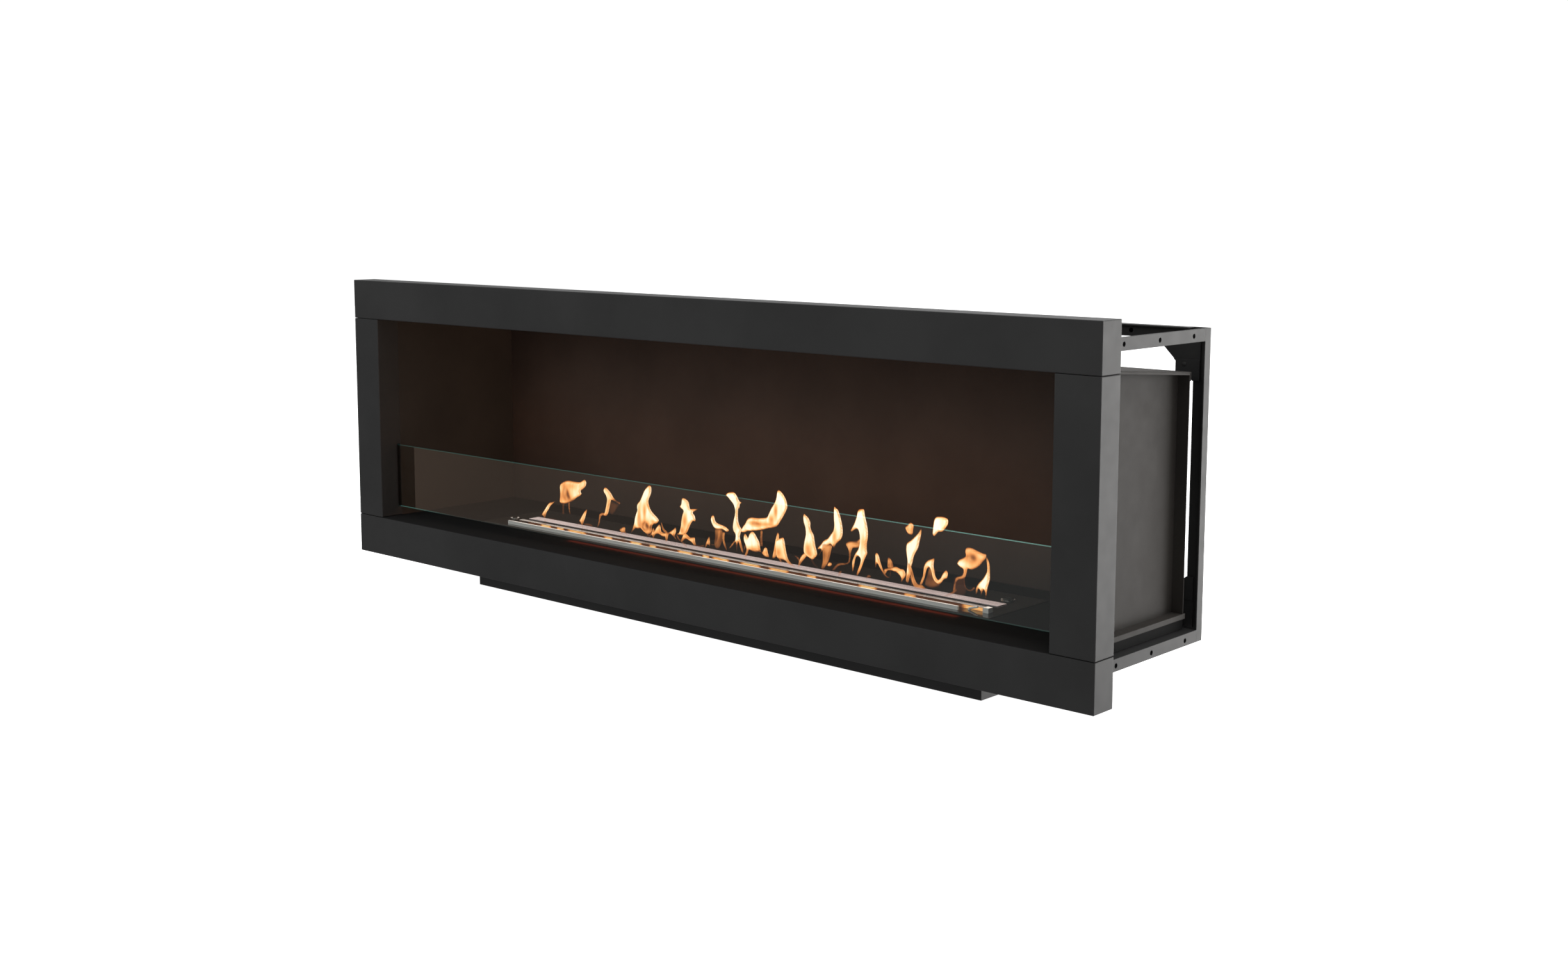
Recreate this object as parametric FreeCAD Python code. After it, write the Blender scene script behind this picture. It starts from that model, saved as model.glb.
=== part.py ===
import FreeCAD, Part
import math
import os

# A built-in linear fireplace: a flat trim frame, a firebox behind it, an open
# steel mounting frame round the firebox, a low glass pane, and a line burner
# whose casing hangs under the firebox floor.
#
# Frame: +X to the right, +Y to the rear, +Z up. The origin is the centre of
# the underside of the whole object, so the casing stands on Z = 0.

# ---------------------------------------------------------------- whole object
DEPTH = 396.0               # trim front face to the rear of the mounting frame
CASING_DROP = 52.0          # the burner casing reaches this far below the trim

# ---------------------------------------------------------------- trim frame
TRIM_WIDTH = 1834.0
TRIM_HEIGHT = 580.0
TRIM_DEPTH = 51.0
TRIM_MEMBER = 80.0          # face width of the rails and stiles
TRIM_SHEET = 2.0
TRIM_EDGE_RADIUS = 1.5
TRIM_JOINT_GAP = 0.6
TRIM_BOLT_OFFSET = 20.0     # joint bolts, either side of the stile's centre line
FIXING_PLATE_HEIGHT = 60.0
FIXING_PLATE_ZS = (330.0, 500.0)
FIXING_BOLT_INSET = 5.2     # bolt centre from the inside of the post

# ---------------------------------------------------------------- mounting frame
FRAME_WIDTH = 1746.0
FRAME_BOTTOM_Z = 85.0
FRAME_TOP_Z = 599.0
ANGLE_THICKNESS = 2.5
RAIL_LEG = 21.0             # vertical leg of the top rails
LOW_RAIL_LEG = 20.0         # vertical leg of the bottom rails
SIDE_LEG = 18.0             # post leg that faces sideways
BACK_LEG = 28.5             # post leg that faces front or rear
SHELF_LEG = 28.0            # horizontal leg of the bottom rails, under the floor pan
FRAME_HOLE_RADIUS = 4.0
SIDE_HOLE_YS = (-66.5, 38.5, 143.5)
REAR_HOLE_XS = (-727.5, -242.5, 242.5, 727.5)
TOP_HOLE_Z = 588.0
LOW_HOLE_Z = 94.0
GUSSET_THICKNESS = 2.5
GUSSET_STEP = 1.5           # the end of each gusset is pressed forward this far
STAY_X = 825.0
STAY_ZS = (500.0, 198.0)
STAY_RADIUS = 6.0
GUSSET_RIVET_X = 830.0
GUSSET_RIVET_ZS = (538.0, 158.0)

# ---------------------------------------------------------------- firebox
FIREBOX_SHEET = 1.5
FIREBOX_FLANGE = 23.0       # from the inner wall plane to the flange's outer edge
FIREBOX_BACK_Y = 157.0      # front face of the side panels' back flanges
ROOF_FALL = 24.0            # the roof drops this much towards the rear
FLANGE_LIP = 7.2
ROOF_LIP = 4.0
PAN_HALF_WIDTH = 852.0
PAN_REAR_Y = 172.0
RIVET_COUNT = 6

# ---------------------------------------------------------------- glass
GLASS_THICKNESS = 5.0
GLASS_CENTRE_Y = -152.5
GLASS_BOTTOM_Z = 152.0
GLASS_TOP_Z = 284.0
GLASS_ENGAGEMENT = 11.0     # how far each end sits in its channel
CHANNEL_WIDTH = 9.0
CHANNEL_DEPTH = 16.0
CHANNEL_SLOT = 5.6

# ---------------------------------------------------------------- burner
BURNER_CENTRE_Y = 7.0
CASING_LENGTH = 1286.0
CASING_DEPTH = 205.0
CASING_FLANGE = 18.0
PLATE_LENGTH = 1288.0
PLATE_DEPTH = 172.0
CUTOUT_LENGTH = 1272.0
CUTOUT_DEPTH = 156.0
SLOT_LEFT_X = -546.0
SLOT_RIGHT_X = 581.0
SLOT_FRONT_Y = -30.0
SLOT_REAR_Y = -4.0
RAIL_HEIGHT = 6.5
FRONT_RAIL_LEFT_X = -583.0
FRONT_RAIL_RIGHT_X = 572.0
FRONT_RAIL_FRONT_Y = -66.0
FRONT_RAIL_THICKNESS = 4.0
INNER_RAIL_FRONT_Y = -46.5
INNER_RAIL_REAR_Y = -36.0
INNER_RAIL_RIGHT_X = 611.0
REAR_RAIL_LEFT_X = -590.0
REAR_RAIL_RIGHT_X = 608.0
REAR_RAIL_WIDTH = 26.0
REAR_RAIL_THICKNESS = 1.2
PERFORATION_RADIUS = 1.5
PERFORATION_PITCH = 16.0
END_BLOCK_LENGTH = 11.0
END_BLOCK_HEIGHT = 8.3
TROUGH_WALL = 8.0           # from the slot edge to the trough's outer face
TROUGH_BOTTOM_Z = 104.0
VAPOUR_TUBE_RADIUS = 8.0
VAPOUR_TUBE_WALL = 1.2
VAPOUR_HOLE_PITCH = 24.0
HEATER_RADIUS = 3.0
IGNITER_RADIUS = 1.7

# ---------------------------------------------------------------- fuel system
FILLER_X = 590.0
FILLER_Y = 52.0
NECK_BORE_RADIUS = 9.0
NECK_OUTER_RADIUS = 11.0
NECK_RIM_RADIUS = 12.0
CAP_RADIUS = 10.6
CAP_CLEARANCE = 0.1
TANK_LEFT_X = -40.0
TANK_RIGHT_X = 625.0
TANK_FRONT_Y = -60.0
TANK_REAR_Y = 85.0
TANK_BOTTOM_Z = 12.0
TANK_TOP_Z = 90.0
FLOAT_X = 30.0
FLOAT_Y = 45.0
FLOAT_RADIUS = 15.0
FLOAT_HEIGHT = 22.0
STEM_RADIUS = 3.0
PUMP_X = -103.0
LINE_RADIUS = 3.0
LINE_BORE_RADIUS = 2.0

# ---------------------------------------------------------------- controls
BUTTON_X = -620.0
BUTTON_Y = -17.0
BUTTON_RADIUS = 5.2
BUTTON_CLEARANCE = 0.1
BUTTON_PROUD = 1.8
SPRING_TURNS = 5
SPRING_RADIUS = 3.4
SPRING_WIRE = 0.45
FAN_SIZE = 60.0
FAN_THICKNESS = 18.0
FAN_Z = 62.0
FAN_BLADES = 7
FAN_SHAFT_RADIUS = 1.95
FAN_SHAFT_CLEARANCE = 0.08
INLET_X = -480.0
INLET_Z = 60.0

# ---------------------------------------------------------------- places worked out
FRONT_Y = -DEPTH / 2
REAR_Y = DEPTH / 2
TRIM_BACK_Y = FRONT_Y + TRIM_DEPTH
TRIM_HALF = TRIM_WIDTH / 2
TRIM_BOTTOM_Z = CASING_DROP
TRIM_TOP_Z = TRIM_BOTTOM_Z + TRIM_HEIGHT
OPENING_HALF = TRIM_HALF - TRIM_MEMBER
OPENING_BOTTOM_Z = TRIM_BOTTOM_Z + TRIM_MEMBER
OPENING_TOP_Z = TRIM_TOP_Z - TRIM_MEMBER
FRAME_HALF = FRAME_WIDTH / 2
POST_INNER_X = FRAME_HALF - BACK_LEG
FLOOR_Z = OPENING_BOTTOM_Z                       # top of the floor pan
PAN_UNDERSIDE_Z = FLOOR_Z - FIREBOX_SHEET
FIREBOX_FRONT_Y = TRIM_BACK_Y + ANGLE_THICKNESS  # behind the posts' front legs
FLANGE_X = OPENING_HALF + FIREBOX_FLANGE
WALL_OUTER_X = OPENING_HALF + FIREBOX_SHEET
PLATE_Z = FLOOR_Z + FIREBOX_SHEET                # top of the burner plate
PLATE_LEFT_X = -PLATE_LENGTH / 2
SLOT_CENTRE_Y = (SLOT_FRONT_Y + SLOT_REAR_Y) / 2
CASING_FRONT_Y = BURNER_CENTRE_Y - CASING_DEPTH / 2
CASING_REAR_Y = BURNER_CENTRE_Y + CASING_DEPTH / 2
CASING_HALF = CASING_LENGTH / 2
TUBE_Z = TROUGH_BOTTOM_Z + FIREBOX_SHEET + VAPOUR_TUBE_RADIUS + 2.0

X_AXIS = FreeCAD.Vector(1, 0, 0)
Y_AXIS = FreeCAD.Vector(0, 1, 0)
Z_AXIS = FreeCAD.Vector(0, 0, 1)


# ---------------------------------------------------------------- helpers
def block(x0, x1, y0, y1, z0, z1):
    """A box between two corners."""
    return Part.makeBox(x1 - x0, y1 - y0, z1 - z0, FreeCAD.Vector(x0, y0, z0))


def rod(x, y, z, axis, radius, length):
    """A cylinder that starts at a point and runs along an axis."""
    return Part.makeCylinder(radius, length, FreeCAD.Vector(x, y, z), axis)


def tube(x, y, z, axis, outer, inner, length):
    return rod(x, y, z, axis, outer, length).cut(rod(x, y, z, axis, inner, length))


def hexagon(x, y, z, axis, across_flats, height):
    """A hexagonal prism along an axis, centred on it."""
    radius = across_flats / math.sqrt(3)
    corners = []
    for step in range(7):
        angle = math.radians(60 * step)
        corners.append(FreeCAD.Vector(radius * math.cos(angle), radius * math.sin(angle), 0))
    prism = Part.Face(Part.makePolygon(corners)).extrude(FreeCAD.Vector(0, 0, height))
    prism.Placement = FreeCAD.Placement(
        FreeCAD.Vector(x, y, z), FreeCAD.Rotation(Z_AXIS, axis))
    return prism


def side_profile(points, x0, x1):
    """A flat outline of (y, z) points, extruded along X."""
    corners = [FreeCAD.Vector(x0, y, z) for y, z in points]
    face = Part.Face(Part.makePolygon(corners + corners[:1]))
    return face.extrude(FreeCAD.Vector(x1 - x0, 0, 0))


def rear_profile(points, y0, y1):
    """A flat outline of (x, z) points, extruded along Y."""
    corners = [FreeCAD.Vector(x, y0, z) for x, z in points]
    face = Part.Face(Part.makePolygon(corners + corners[:1]))
    return face.extrude(FreeCAD.Vector(0, y1 - y0, 0))


def fuse(shapes):
    """One solid from pieces that share faces."""
    result = shapes[0]
    if len(shapes) > 1:
        result = result.fuse(shapes[1:])
    return result.removeSplitter()


def cut_all(shape, tools):
    return shape.cut(Part.makeCompound(tools))


def mirrored(shape):
    """The left-hand twin of a right-hand piece."""
    return shape.mirror(FreeCAD.Vector(0, 0, 0), X_AXIS)


def bolt_and_nut(x, y, z, axis, grip, radius=2.5):
    """A hexagon bolt whose head sits behind the point, and its nut past the grip."""
    head_height = 1.4 * radius
    nut_height = 1.6 * radius
    flats = 3.3 * radius
    back = axis * -head_height
    head = hexagon(x + back.x, y + back.y, z + back.z, axis, flats, head_height)
    shank = rod(x, y, z, axis, radius, grip + nut_height + 1.0)
    end = axis * grip
    nut = hexagon(x + end.x, y + end.y, z + end.z, axis, flats, nut_height)
    nut = nut.cut(rod(x, y, z, axis, radius, grip + nut_height + 2.0))
    return [fuse([head, shank]), nut]


def domed_rivet(x, y, z, grip, head_radius, head_height):
    """A rivet along Y: its shank starts at y, and its domed head stands past the grip."""
    shank = rod(x, y, z, Y_AXIS, head_radius * 0.5, grip)
    sphere_radius = (head_radius ** 2 + head_height ** 2) / (2 * head_height)
    centre = FreeCAD.Vector(x, y + grip + head_height - sphere_radius, z)
    ball = Part.makeSphere(sphere_radius, centre)
    slab = block(x - head_radius - 1, x + head_radius + 1, y + grip,
                 y + grip + head_height + 1, z - head_radius - 1, z + head_radius + 1)
    return fuse([shank, ball.common(slab)])


# ---------------------------------------------------------------- trim frame
def trim_tray(x0, x1, z0, z1):
    """A folded sheet tray, open at the back, with softened outer edges."""
    outer = block(x0, x1, FRONT_Y, TRIM_BACK_Y, z0, z1)
    visible = [edge for edge in outer.Edges
               if min(vertex.Y for vertex in edge.Vertexes) < TRIM_BACK_Y - 1]
    outer = outer.makeFillet(TRIM_EDGE_RADIUS, visible)
    hollow = block(x0 + TRIM_SHEET, x1 - TRIM_SHEET, FRONT_Y + TRIM_SHEET, TRIM_BACK_Y + 1,
                   z0 + TRIM_SHEET, z1 - TRIM_SHEET)
    return outer.cut(hollow)


def joint_bolt_places():
    """X and Z of the bolts that join a rail to a stile, with the way they point."""
    centre_x = OPENING_HALF + TRIM_MEMBER / 2
    places = []
    for side in (-1, 1):
        for offset in (-TRIM_BOLT_OFFSET, TRIM_BOLT_OFFSET):
            places.append((side * centre_x + offset, OPENING_TOP_Z + TRIM_SHEET, -1))
            places.append((side * centre_x + offset, OPENING_BOTTOM_Z - TRIM_SHEET, 1))
    return places


JOINT_BOLT_Y = (FRONT_Y + TRIM_BACK_Y) / 2
JOINT_GRIP = 2 * TRIM_SHEET + TRIM_JOINT_GAP
FIXING_BOLT_X = FRAME_HALF - ANGLE_THICKNESS - FIXING_BOLT_INSET


def joint_bolt_holes():
    return [rod(x, JOINT_BOLT_Y, z - 10, Z_AXIS, 2.7, 20) for x, z, way in joint_bolt_places()]


def trim_rail(z0, z1):
    rail = trim_tray(-TRIM_HALF, TRIM_HALF, z0, z1)
    return cut_all(rail, joint_bolt_holes())


def trim_stile():
    """The right-hand stile: a tray with a notch for the glass channel in its inner
    return, and two plates welded across its back for the bolts to the post."""
    stile = trim_tray(OPENING_HALF, TRIM_HALF, OPENING_BOTTOM_Z + TRIM_JOINT_GAP,
                      OPENING_TOP_Z - TRIM_JOINT_GAP)
    plates = [block(OPENING_HALF + TRIM_SHEET, TRIM_HALF - TRIM_SHEET,
                    TRIM_BACK_Y - TRIM_SHEET, TRIM_BACK_Y,
                    z - FIXING_PLATE_HEIGHT / 2, z + FIXING_PLATE_HEIGHT / 2)
              for z in FIXING_PLATE_ZS]
    holes = joint_bolt_holes() + fixing_bolt_holes() + [channel_outline(OPENING_HALF - 1)]
    return cut_all(fuse([stile] + plates), holes)


def fixing_bolt_holes():
    return [rod(FIXING_BOLT_X, TRIM_BACK_Y - 10, z, Y_AXIS, 2.7, 20) for z in FIXING_PLATE_ZS]


def trim_bolts():
    """The bolts that join the rails to the stiles, and the trim to the posts."""
    solids = []
    for x, z, way in joint_bolt_places():
        solids += bolt_and_nut(x, JOINT_BOLT_Y, z, Z_AXIS * way, JOINT_GRIP)
    for z in FIXING_PLATE_ZS:
        for side in (-1, 1):
            solids += bolt_and_nut(side * FIXING_BOLT_X, TRIM_BACK_Y - TRIM_SHEET, z,
                                   Y_AXIS, TRIM_SHEET + ANGLE_THICKNESS)
    return Part.makeCompound(solids)


# ---------------------------------------------------------------- mounting frame
def side_top_rail():
    """Angle bar along the right side: an upright leg, and a leg turned in below it."""
    y0 = TRIM_BACK_Y + SIDE_LEG
    y1 = REAR_Y - SIDE_LEG
    low_z = FRAME_TOP_Z - RAIL_LEG
    upright = block(FRAME_HALF - ANGLE_THICKNESS, FRAME_HALF, y0, y1, low_z, FRAME_TOP_Z)
    ledge = block(FRAME_HALF - RAIL_LEG, FRAME_HALF, y0, y1, low_z, low_z + ANGLE_THICKNESS)
    return cut_all(fuse([upright, ledge]), side_holes(TOP_HOLE_Z))


def side_bottom_rail():
    """Angle bar along the right side, with its wide leg on top as a shelf for the pan."""
    y0 = TRIM_BACK_Y + SIDE_LEG
    y1 = REAR_Y - SIDE_LEG
    top_z = FRAME_BOTTOM_Z + LOW_RAIL_LEG
    upright = block(FRAME_HALF - ANGLE_THICKNESS, FRAME_HALF, y0, y1, FRAME_BOTTOM_Z, top_z)
    shelf = block(FRAME_HALF - SHELF_LEG, FRAME_HALF, y0, y1, top_z - ANGLE_THICKNESS, top_z)
    return cut_all(fuse([upright, shelf]), side_holes(LOW_HOLE_Z))


def side_holes(z):
    return [rod(FRAME_HALF - 10, y, z, X_AXIS, FRAME_HOLE_RADIUS, 20) for y in SIDE_HOLE_YS]


def rear_post():
    side = block(FRAME_HALF - ANGLE_THICKNESS, FRAME_HALF, REAR_Y - SIDE_LEG, REAR_Y,
                 FRAME_BOTTOM_Z, FRAME_TOP_Z)
    back = block(POST_INNER_X, FRAME_HALF, REAR_Y - ANGLE_THICKNESS, REAR_Y,
                 FRAME_BOTTOM_Z, FRAME_TOP_Z)
    return fuse([side, back])


def front_post():
    side = block(FRAME_HALF - ANGLE_THICKNESS, FRAME_HALF, TRIM_BACK_Y, TRIM_BACK_Y + SIDE_LEG,
                 FRAME_BOTTOM_Z, FRAME_TOP_Z)
    front = block(POST_INNER_X, FRAME_HALF, TRIM_BACK_Y, TRIM_BACK_Y + ANGLE_THICKNESS,
                  FRAME_BOTTOM_Z, FRAME_TOP_Z)
    return cut_all(fuse([side, front]), fixing_bolt_holes())


def cross_rail(face_y, inward, z0, z1, shelf_top_z, shelf_leg):
    """Angle bar from post to post: an upright leg on face_y and a leg turned inward."""
    near = face_y
    leg_y = face_y + inward * ANGLE_THICKNESS
    shelf_y = face_y + inward * shelf_leg
    upright = block(-POST_INNER_X, POST_INNER_X, min(near, leg_y), max(near, leg_y), z0, z1)
    shelf = block(-POST_INNER_X, POST_INNER_X, min(near, shelf_y), max(near, shelf_y),
                  shelf_top_z - ANGLE_THICKNESS, shelf_top_z)
    return fuse([upright, shelf])


def rear_holes(z):
    return [rod(x, REAR_Y - 10, z, Y_AXIS, FRAME_HOLE_RADIUS, 20) for x in REAR_HOLE_XS]


def rear_top_rail():
    rail = cross_rail(REAR_Y, -1, FRAME_TOP_Z - RAIL_LEG, FRAME_TOP_Z, FRAME_TOP_Z, RAIL_LEG)
    return cut_all(rail, rear_holes(TOP_HOLE_Z))


def rear_bottom_rail():
    top_z = FRAME_BOTTOM_Z + LOW_RAIL_LEG
    rail = cross_rail(REAR_Y, -1, FRAME_BOTTOM_Z, top_z, top_z, SHELF_LEG)
    return cut_all(rail, rear_holes(LOW_HOLE_Z))


def front_top_rail():
    return cross_rail(TRIM_BACK_Y, 1, FRAME_TOP_Z - RAIL_LEG, FRAME_TOP_Z, FRAME_TOP_Z, RAIL_LEG)


def front_bottom_rail():
    top_z = FRAME_BOTTOM_Z + LOW_RAIL_LEG
    return cross_rail(TRIM_BACK_Y, 1, FRAME_BOTTOM_Z, top_z, top_z, RAIL_LEG)


def gusset_plate(flat_outline, pressed_outline, stay_z):
    """A corner plate in the frame's rear plane; its free end is pressed forward."""
    rear_y = REAR_Y - ANGLE_THICKNESS
    front_y = rear_y - GUSSET_THICKNESS
    flat = rear_profile(flat_outline, front_y, rear_y)
    pressed = rear_profile(pressed_outline, front_y - GUSSET_STEP, rear_y - GUSSET_STEP)
    plate = fuse([flat, pressed])
    stay_hole = rod(STAY_X, rear_y - 20, stay_z, Y_AXIS, 3.2, 40)
    return cut_all(plate, [stay_hole] + gusset_rivet_holes())


def upper_gusset():
    """Right-hand upper gusset: a long chamfer inside and a short one at its foot."""
    fold_z = 546.0
    flat = [(791.0, 596.5), (791.0, 565.5), (810.5, fold_z), (858.0, fold_z), (858.0, 596.5)]
    pressed = [(810.5, fold_z), (814.0, 542.5), (814.0, 488.0), (836.0, 488.0), (836.0, 519.0),
               (845.0, 511.5), (858.0, 511.5), (858.0, fold_z)]
    return gusset_plate(flat, pressed, STAY_ZS[0])


def lower_gusset():
    """Right-hand lower gusset, standing on the rear bottom rail's shelf."""
    fold_z = 150.0
    foot_z = FRAME_BOTTOM_Z + LOW_RAIL_LEG
    flat = [(791.0, foot_z), (858.0, foot_z), (858.0, fold_z), (810.5, fold_z), (791.0, 130.5)]
    pressed = [(810.5, fold_z), (858.0, fold_z), (858.0, 188.5), (845.0, 188.5), (836.0, 181.0),
               (836.0, 210.0), (814.0, 210.0), (814.0, 153.5)]
    return gusset_plate(flat, pressed, STAY_ZS[1])


def gusset_rivets():
    """One domed rivet in the pressed end of each gusset, dome to the front."""
    rivets = []
    face_y = REAR_Y - ANGLE_THICKNESS - GUSSET_THICKNESS - GUSSET_STEP
    for z in GUSSET_RIVET_ZS:
        for side in (-1, 1):
            rivet = domed_rivet(0, 0, 0, GUSSET_THICKNESS, 4.0, 2.0)
            rivet.Placement = FreeCAD.Placement(
                FreeCAD.Vector(side * GUSSET_RIVET_X, face_y + GUSSET_THICKNESS, z),
                FreeCAD.Rotation(Z_AXIS, 180))
            rivets.append(rivet)
    return rivets


def gusset_rivet_holes():
    return [rod(GUSSET_RIVET_X, REAR_Y - 20, z, Y_AXIS, 2.0, 20) for z in GUSSET_RIVET_ZS]


def stay_spacers():
    """Threaded spacers between the firebox back and the gussets."""
    y0 = FIREBOX_BACK_Y + 2 * FIREBOX_SHEET
    y1 = REAR_Y - ANGLE_THICKNESS - GUSSET_THICKNESS - GUSSET_STEP
    return Part.makeCompound([tube(side * STAY_X, y0, z, Y_AXIS, STAY_RADIUS, 2.9, y1 - y0)
                              for z in STAY_ZS for side in (-1, 1)])


def stay_bolts():
    """Bolts through the gussets into the spacers, heads flush with the frame's rear."""
    bolts = []
    seat_y = REAR_Y - ANGLE_THICKNESS - GUSSET_STEP
    for z in STAY_ZS:
        for side in (-1, 1):
            head = hexagon(side * STAY_X, seat_y, z, Y_AXIS, 10.0, REAR_Y - seat_y)
            shank = rod(side * STAY_X, seat_y - 24, z, Y_AXIS, 2.8, 24)
            bolts.append(fuse([head, shank]))
    return Part.makeCompound(bolts)


# ---------------------------------------------------------------- firebox
def roof_z(y):
    """Height of the side panels' top edge: it falls evenly towards the rear."""
    run = FIREBOX_BACK_Y - TRIM_BACK_Y
    return OPENING_TOP_Z - FIREBOX_SHEET - ROOF_FALL * (y - TRIM_BACK_Y) / run


def sloped_strip(x0, x1, y0, y1, low, high):
    """A strip that follows the roof line, between two offsets from it."""
    points = [(y0, roof_z(y0) + low), (y1, roof_z(y1) + low),
              (y1, roof_z(y1) + high), (y0, roof_z(y0) + high)]
    return side_profile(points, x0, x1)


def firebox_side():
    """The right-hand side panel: a sheet wall with flanges turned outwards."""
    back = FIREBOX_BACK_Y + FIREBOX_SHEET
    front = FIREBOX_FRONT_Y
    lip_x = FLANGE_X - FIREBOX_SHEET
    wall = side_profile([(TRIM_BACK_Y, FLOOR_Z), (back, FLOOR_Z), (back, roof_z(back)),
                         (TRIM_BACK_Y, roof_z(TRIM_BACK_Y))], OPENING_HALF, WALL_OUTER_X)
    top = sloped_strip(OPENING_HALF, FLANGE_X, front, back, 0, FIREBOX_SHEET)
    top_lip = sloped_strip(lip_x, FLANGE_X, front, back, FIREBOX_SHEET - ROOF_LIP, FIREBOX_SHEET)
    rear = block(WALL_OUTER_X, FLANGE_X, FIREBOX_BACK_Y, back, FLOOR_Z, roof_z(back))
    face = block(WALL_OUTER_X, FLANGE_X, front, front + FIREBOX_SHEET, FLOOR_Z, roof_z(front) - 1)
    bottom = block(OPENING_HALF, FLANGE_X, front, back + 6.5, FLOOR_Z, FLOOR_Z + FIREBOX_SHEET)
    bottom_lip = block(lip_x, FLANGE_X, front, back + 6.5,
                       FLOOR_Z + FIREBOX_SHEET - FLANGE_LIP - FIREBOX_SHEET,
                       FLOOR_Z + FIREBOX_SHEET)
    return fuse([wall, top, top_lip, rear, face, bottom, bottom_lip])


def rivet_heights():
    low = FLOOR_Z + 30
    step = (roof_z(FIREBOX_BACK_Y) - 60 - low) / (RIVET_COUNT - 1)
    return [low + step * index for index in range(RIVET_COUNT)]


def firebox_back():
    """The back panel, lapped behind the side panels' rear flanges and riveted."""
    y0 = FIREBOX_BACK_Y + FIREBOX_SHEET
    y1 = y0 + FIREBOX_SHEET
    top_z = roof_z(y1)
    half = FLANGE_X - 2
    panel = block(-half, half, y0, y1, FLOOR_Z + FIREBOX_SHEET, top_z)
    foot = block(-OPENING_HALF, OPENING_HALF, y0, y1, FLOOR_Z, FLOOR_Z + FIREBOX_SHEET)
    panel = fuse([panel, foot])
    holes = [rod(side * (FLANGE_X - 11), y0 - 1, z, Y_AXIS, 1.75, 5)
             for z in rivet_heights() for side in (-1, 1)]
    return cut_all(panel, holes)


def firebox_roof():
    """The roof sheet, laid over the side flanges and turned down at the rear."""
    back = FIREBOX_BACK_Y + 2 * FIREBOX_SHEET
    sheet = sloped_strip(-FLANGE_X, FLANGE_X, FIREBOX_FRONT_Y, back,
                         FIREBOX_SHEET, 2 * FIREBOX_SHEET)
    tongue = sloped_strip(-POST_INNER_X, POST_INNER_X, TRIM_BACK_Y, FIREBOX_FRONT_Y,
                          FIREBOX_SHEET, 2 * FIREBOX_SHEET)
    lip = block(-FLANGE_X, FLANGE_X, back, back + FIREBOX_SHEET, roof_z(back) - 12,
                roof_z(back) + 2 * FIREBOX_SHEET)
    return fuse([sheet, tongue, lip])


def burner_cutout(z0, z1):
    return block(-CUTOUT_LENGTH / 2, CUTOUT_LENGTH / 2, BURNER_CENTRE_Y - CUTOUT_DEPTH / 2,
                 BURNER_CENTRE_Y + CUTOUT_DEPTH / 2, z0, z1)


def firebox_floor():
    """The floor pan: a flat top with a burner cut-out and skirts down to the frame."""
    foot_z = FRAME_BOTTOM_Z + LOW_RAIL_LEG
    outer = block(-PAN_HALF_WIDTH, PAN_HALF_WIDTH, FIREBOX_FRONT_Y, PAN_REAR_Y, foot_z, FLOOR_Z)
    hollow = block(-PAN_HALF_WIDTH + FIREBOX_SHEET, PAN_HALF_WIDTH - FIREBOX_SHEET,
                   FIREBOX_FRONT_Y + FIREBOX_SHEET, PAN_REAR_Y - FIREBOX_SHEET,
                   foot_z - 1, PAN_UNDERSIDE_Z)
    tongue = block(-POST_INNER_X, POST_INNER_X, TRIM_BACK_Y, FIREBOX_FRONT_Y,
                   PAN_UNDERSIDE_Z, FLOOR_Z)
    pan = fuse([outer.cut(hollow), tongue])
    return pan.cut(burner_cutout(PAN_UNDERSIDE_Z - 1, FLOOR_Z + 1))


def firebox_rivets():
    rivets = []
    for z in rivet_heights():
        for side in (-1, 1):
            rivets.append(domed_rivet(side * (FLANGE_X - 11), FIREBOX_BACK_Y + FIREBOX_SHEET, z,
                                      FIREBOX_SHEET, 3.5, 1.3))
    return rivets


def sheet_rivets():
    """All the domed rivets: those of the back panel and those of the gussets."""
    return Part.makeCompound(firebox_rivets() + gusset_rivets())


# ---------------------------------------------------------------- glass
def channel_outline(x0):
    """The outside of the right-hand glass channel, as a plain block."""
    return block(x0, OPENING_HALF + CHANNEL_DEPTH,
                 GLASS_CENTRE_Y - CHANNEL_WIDTH / 2, GLASS_CENTRE_Y + CHANNEL_WIDTH / 2,
                 GLASS_BOTTOM_Z - 1.0, GLASS_TOP_Z + 1.5)


def glass_channel():
    """The right-hand black channel let into the stile, closed at its foot."""
    slot = block(OPENING_HALF - 1, OPENING_HALF + GLASS_ENGAGEMENT + 1.5,
                 GLASS_CENTRE_Y - CHANNEL_SLOT / 2, GLASS_CENTRE_Y + CHANNEL_SLOT / 2,
                 GLASS_BOTTOM_Z, GLASS_TOP_Z + 2)
    return channel_outline(OPENING_HALF).cut(slot)


def glass_pane():
    half = OPENING_HALF + GLASS_ENGAGEMENT
    pane = block(-half, half, GLASS_CENTRE_Y - GLASS_THICKNESS / 2,
                 GLASS_CENTRE_Y + GLASS_THICKNESS / 2, GLASS_BOTTOM_Z, GLASS_TOP_Z)
    long_edges = [edge for edge in pane.Edges if edge.Length > half]
    return pane.makeChamfer(0.6, long_edges)


# ---------------------------------------------------------------- burner
def casing_stud_places():
    rows = (CASING_FRONT_Y - CASING_FLANGE / 2, CASING_REAR_Y + CASING_FLANGE / 2)
    return [(x, y) for y in rows for x in (-600, -360, -120, 120, 360, 600)]


def vent_slots(x):
    """A row of upright slots through an end wall of the casing, in front of the fan."""
    slots = []
    for step in range(-3, 4):
        y = BURNER_CENTRE_Y + 8 * step
        half_height = math.sqrt(26.0 ** 2 - (8.0 * step) ** 2)
        slots.append(block(x - 5, x + 5, y - 2, y + 2, FAN_Z - half_height, FAN_Z + half_height))
    return slots


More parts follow.
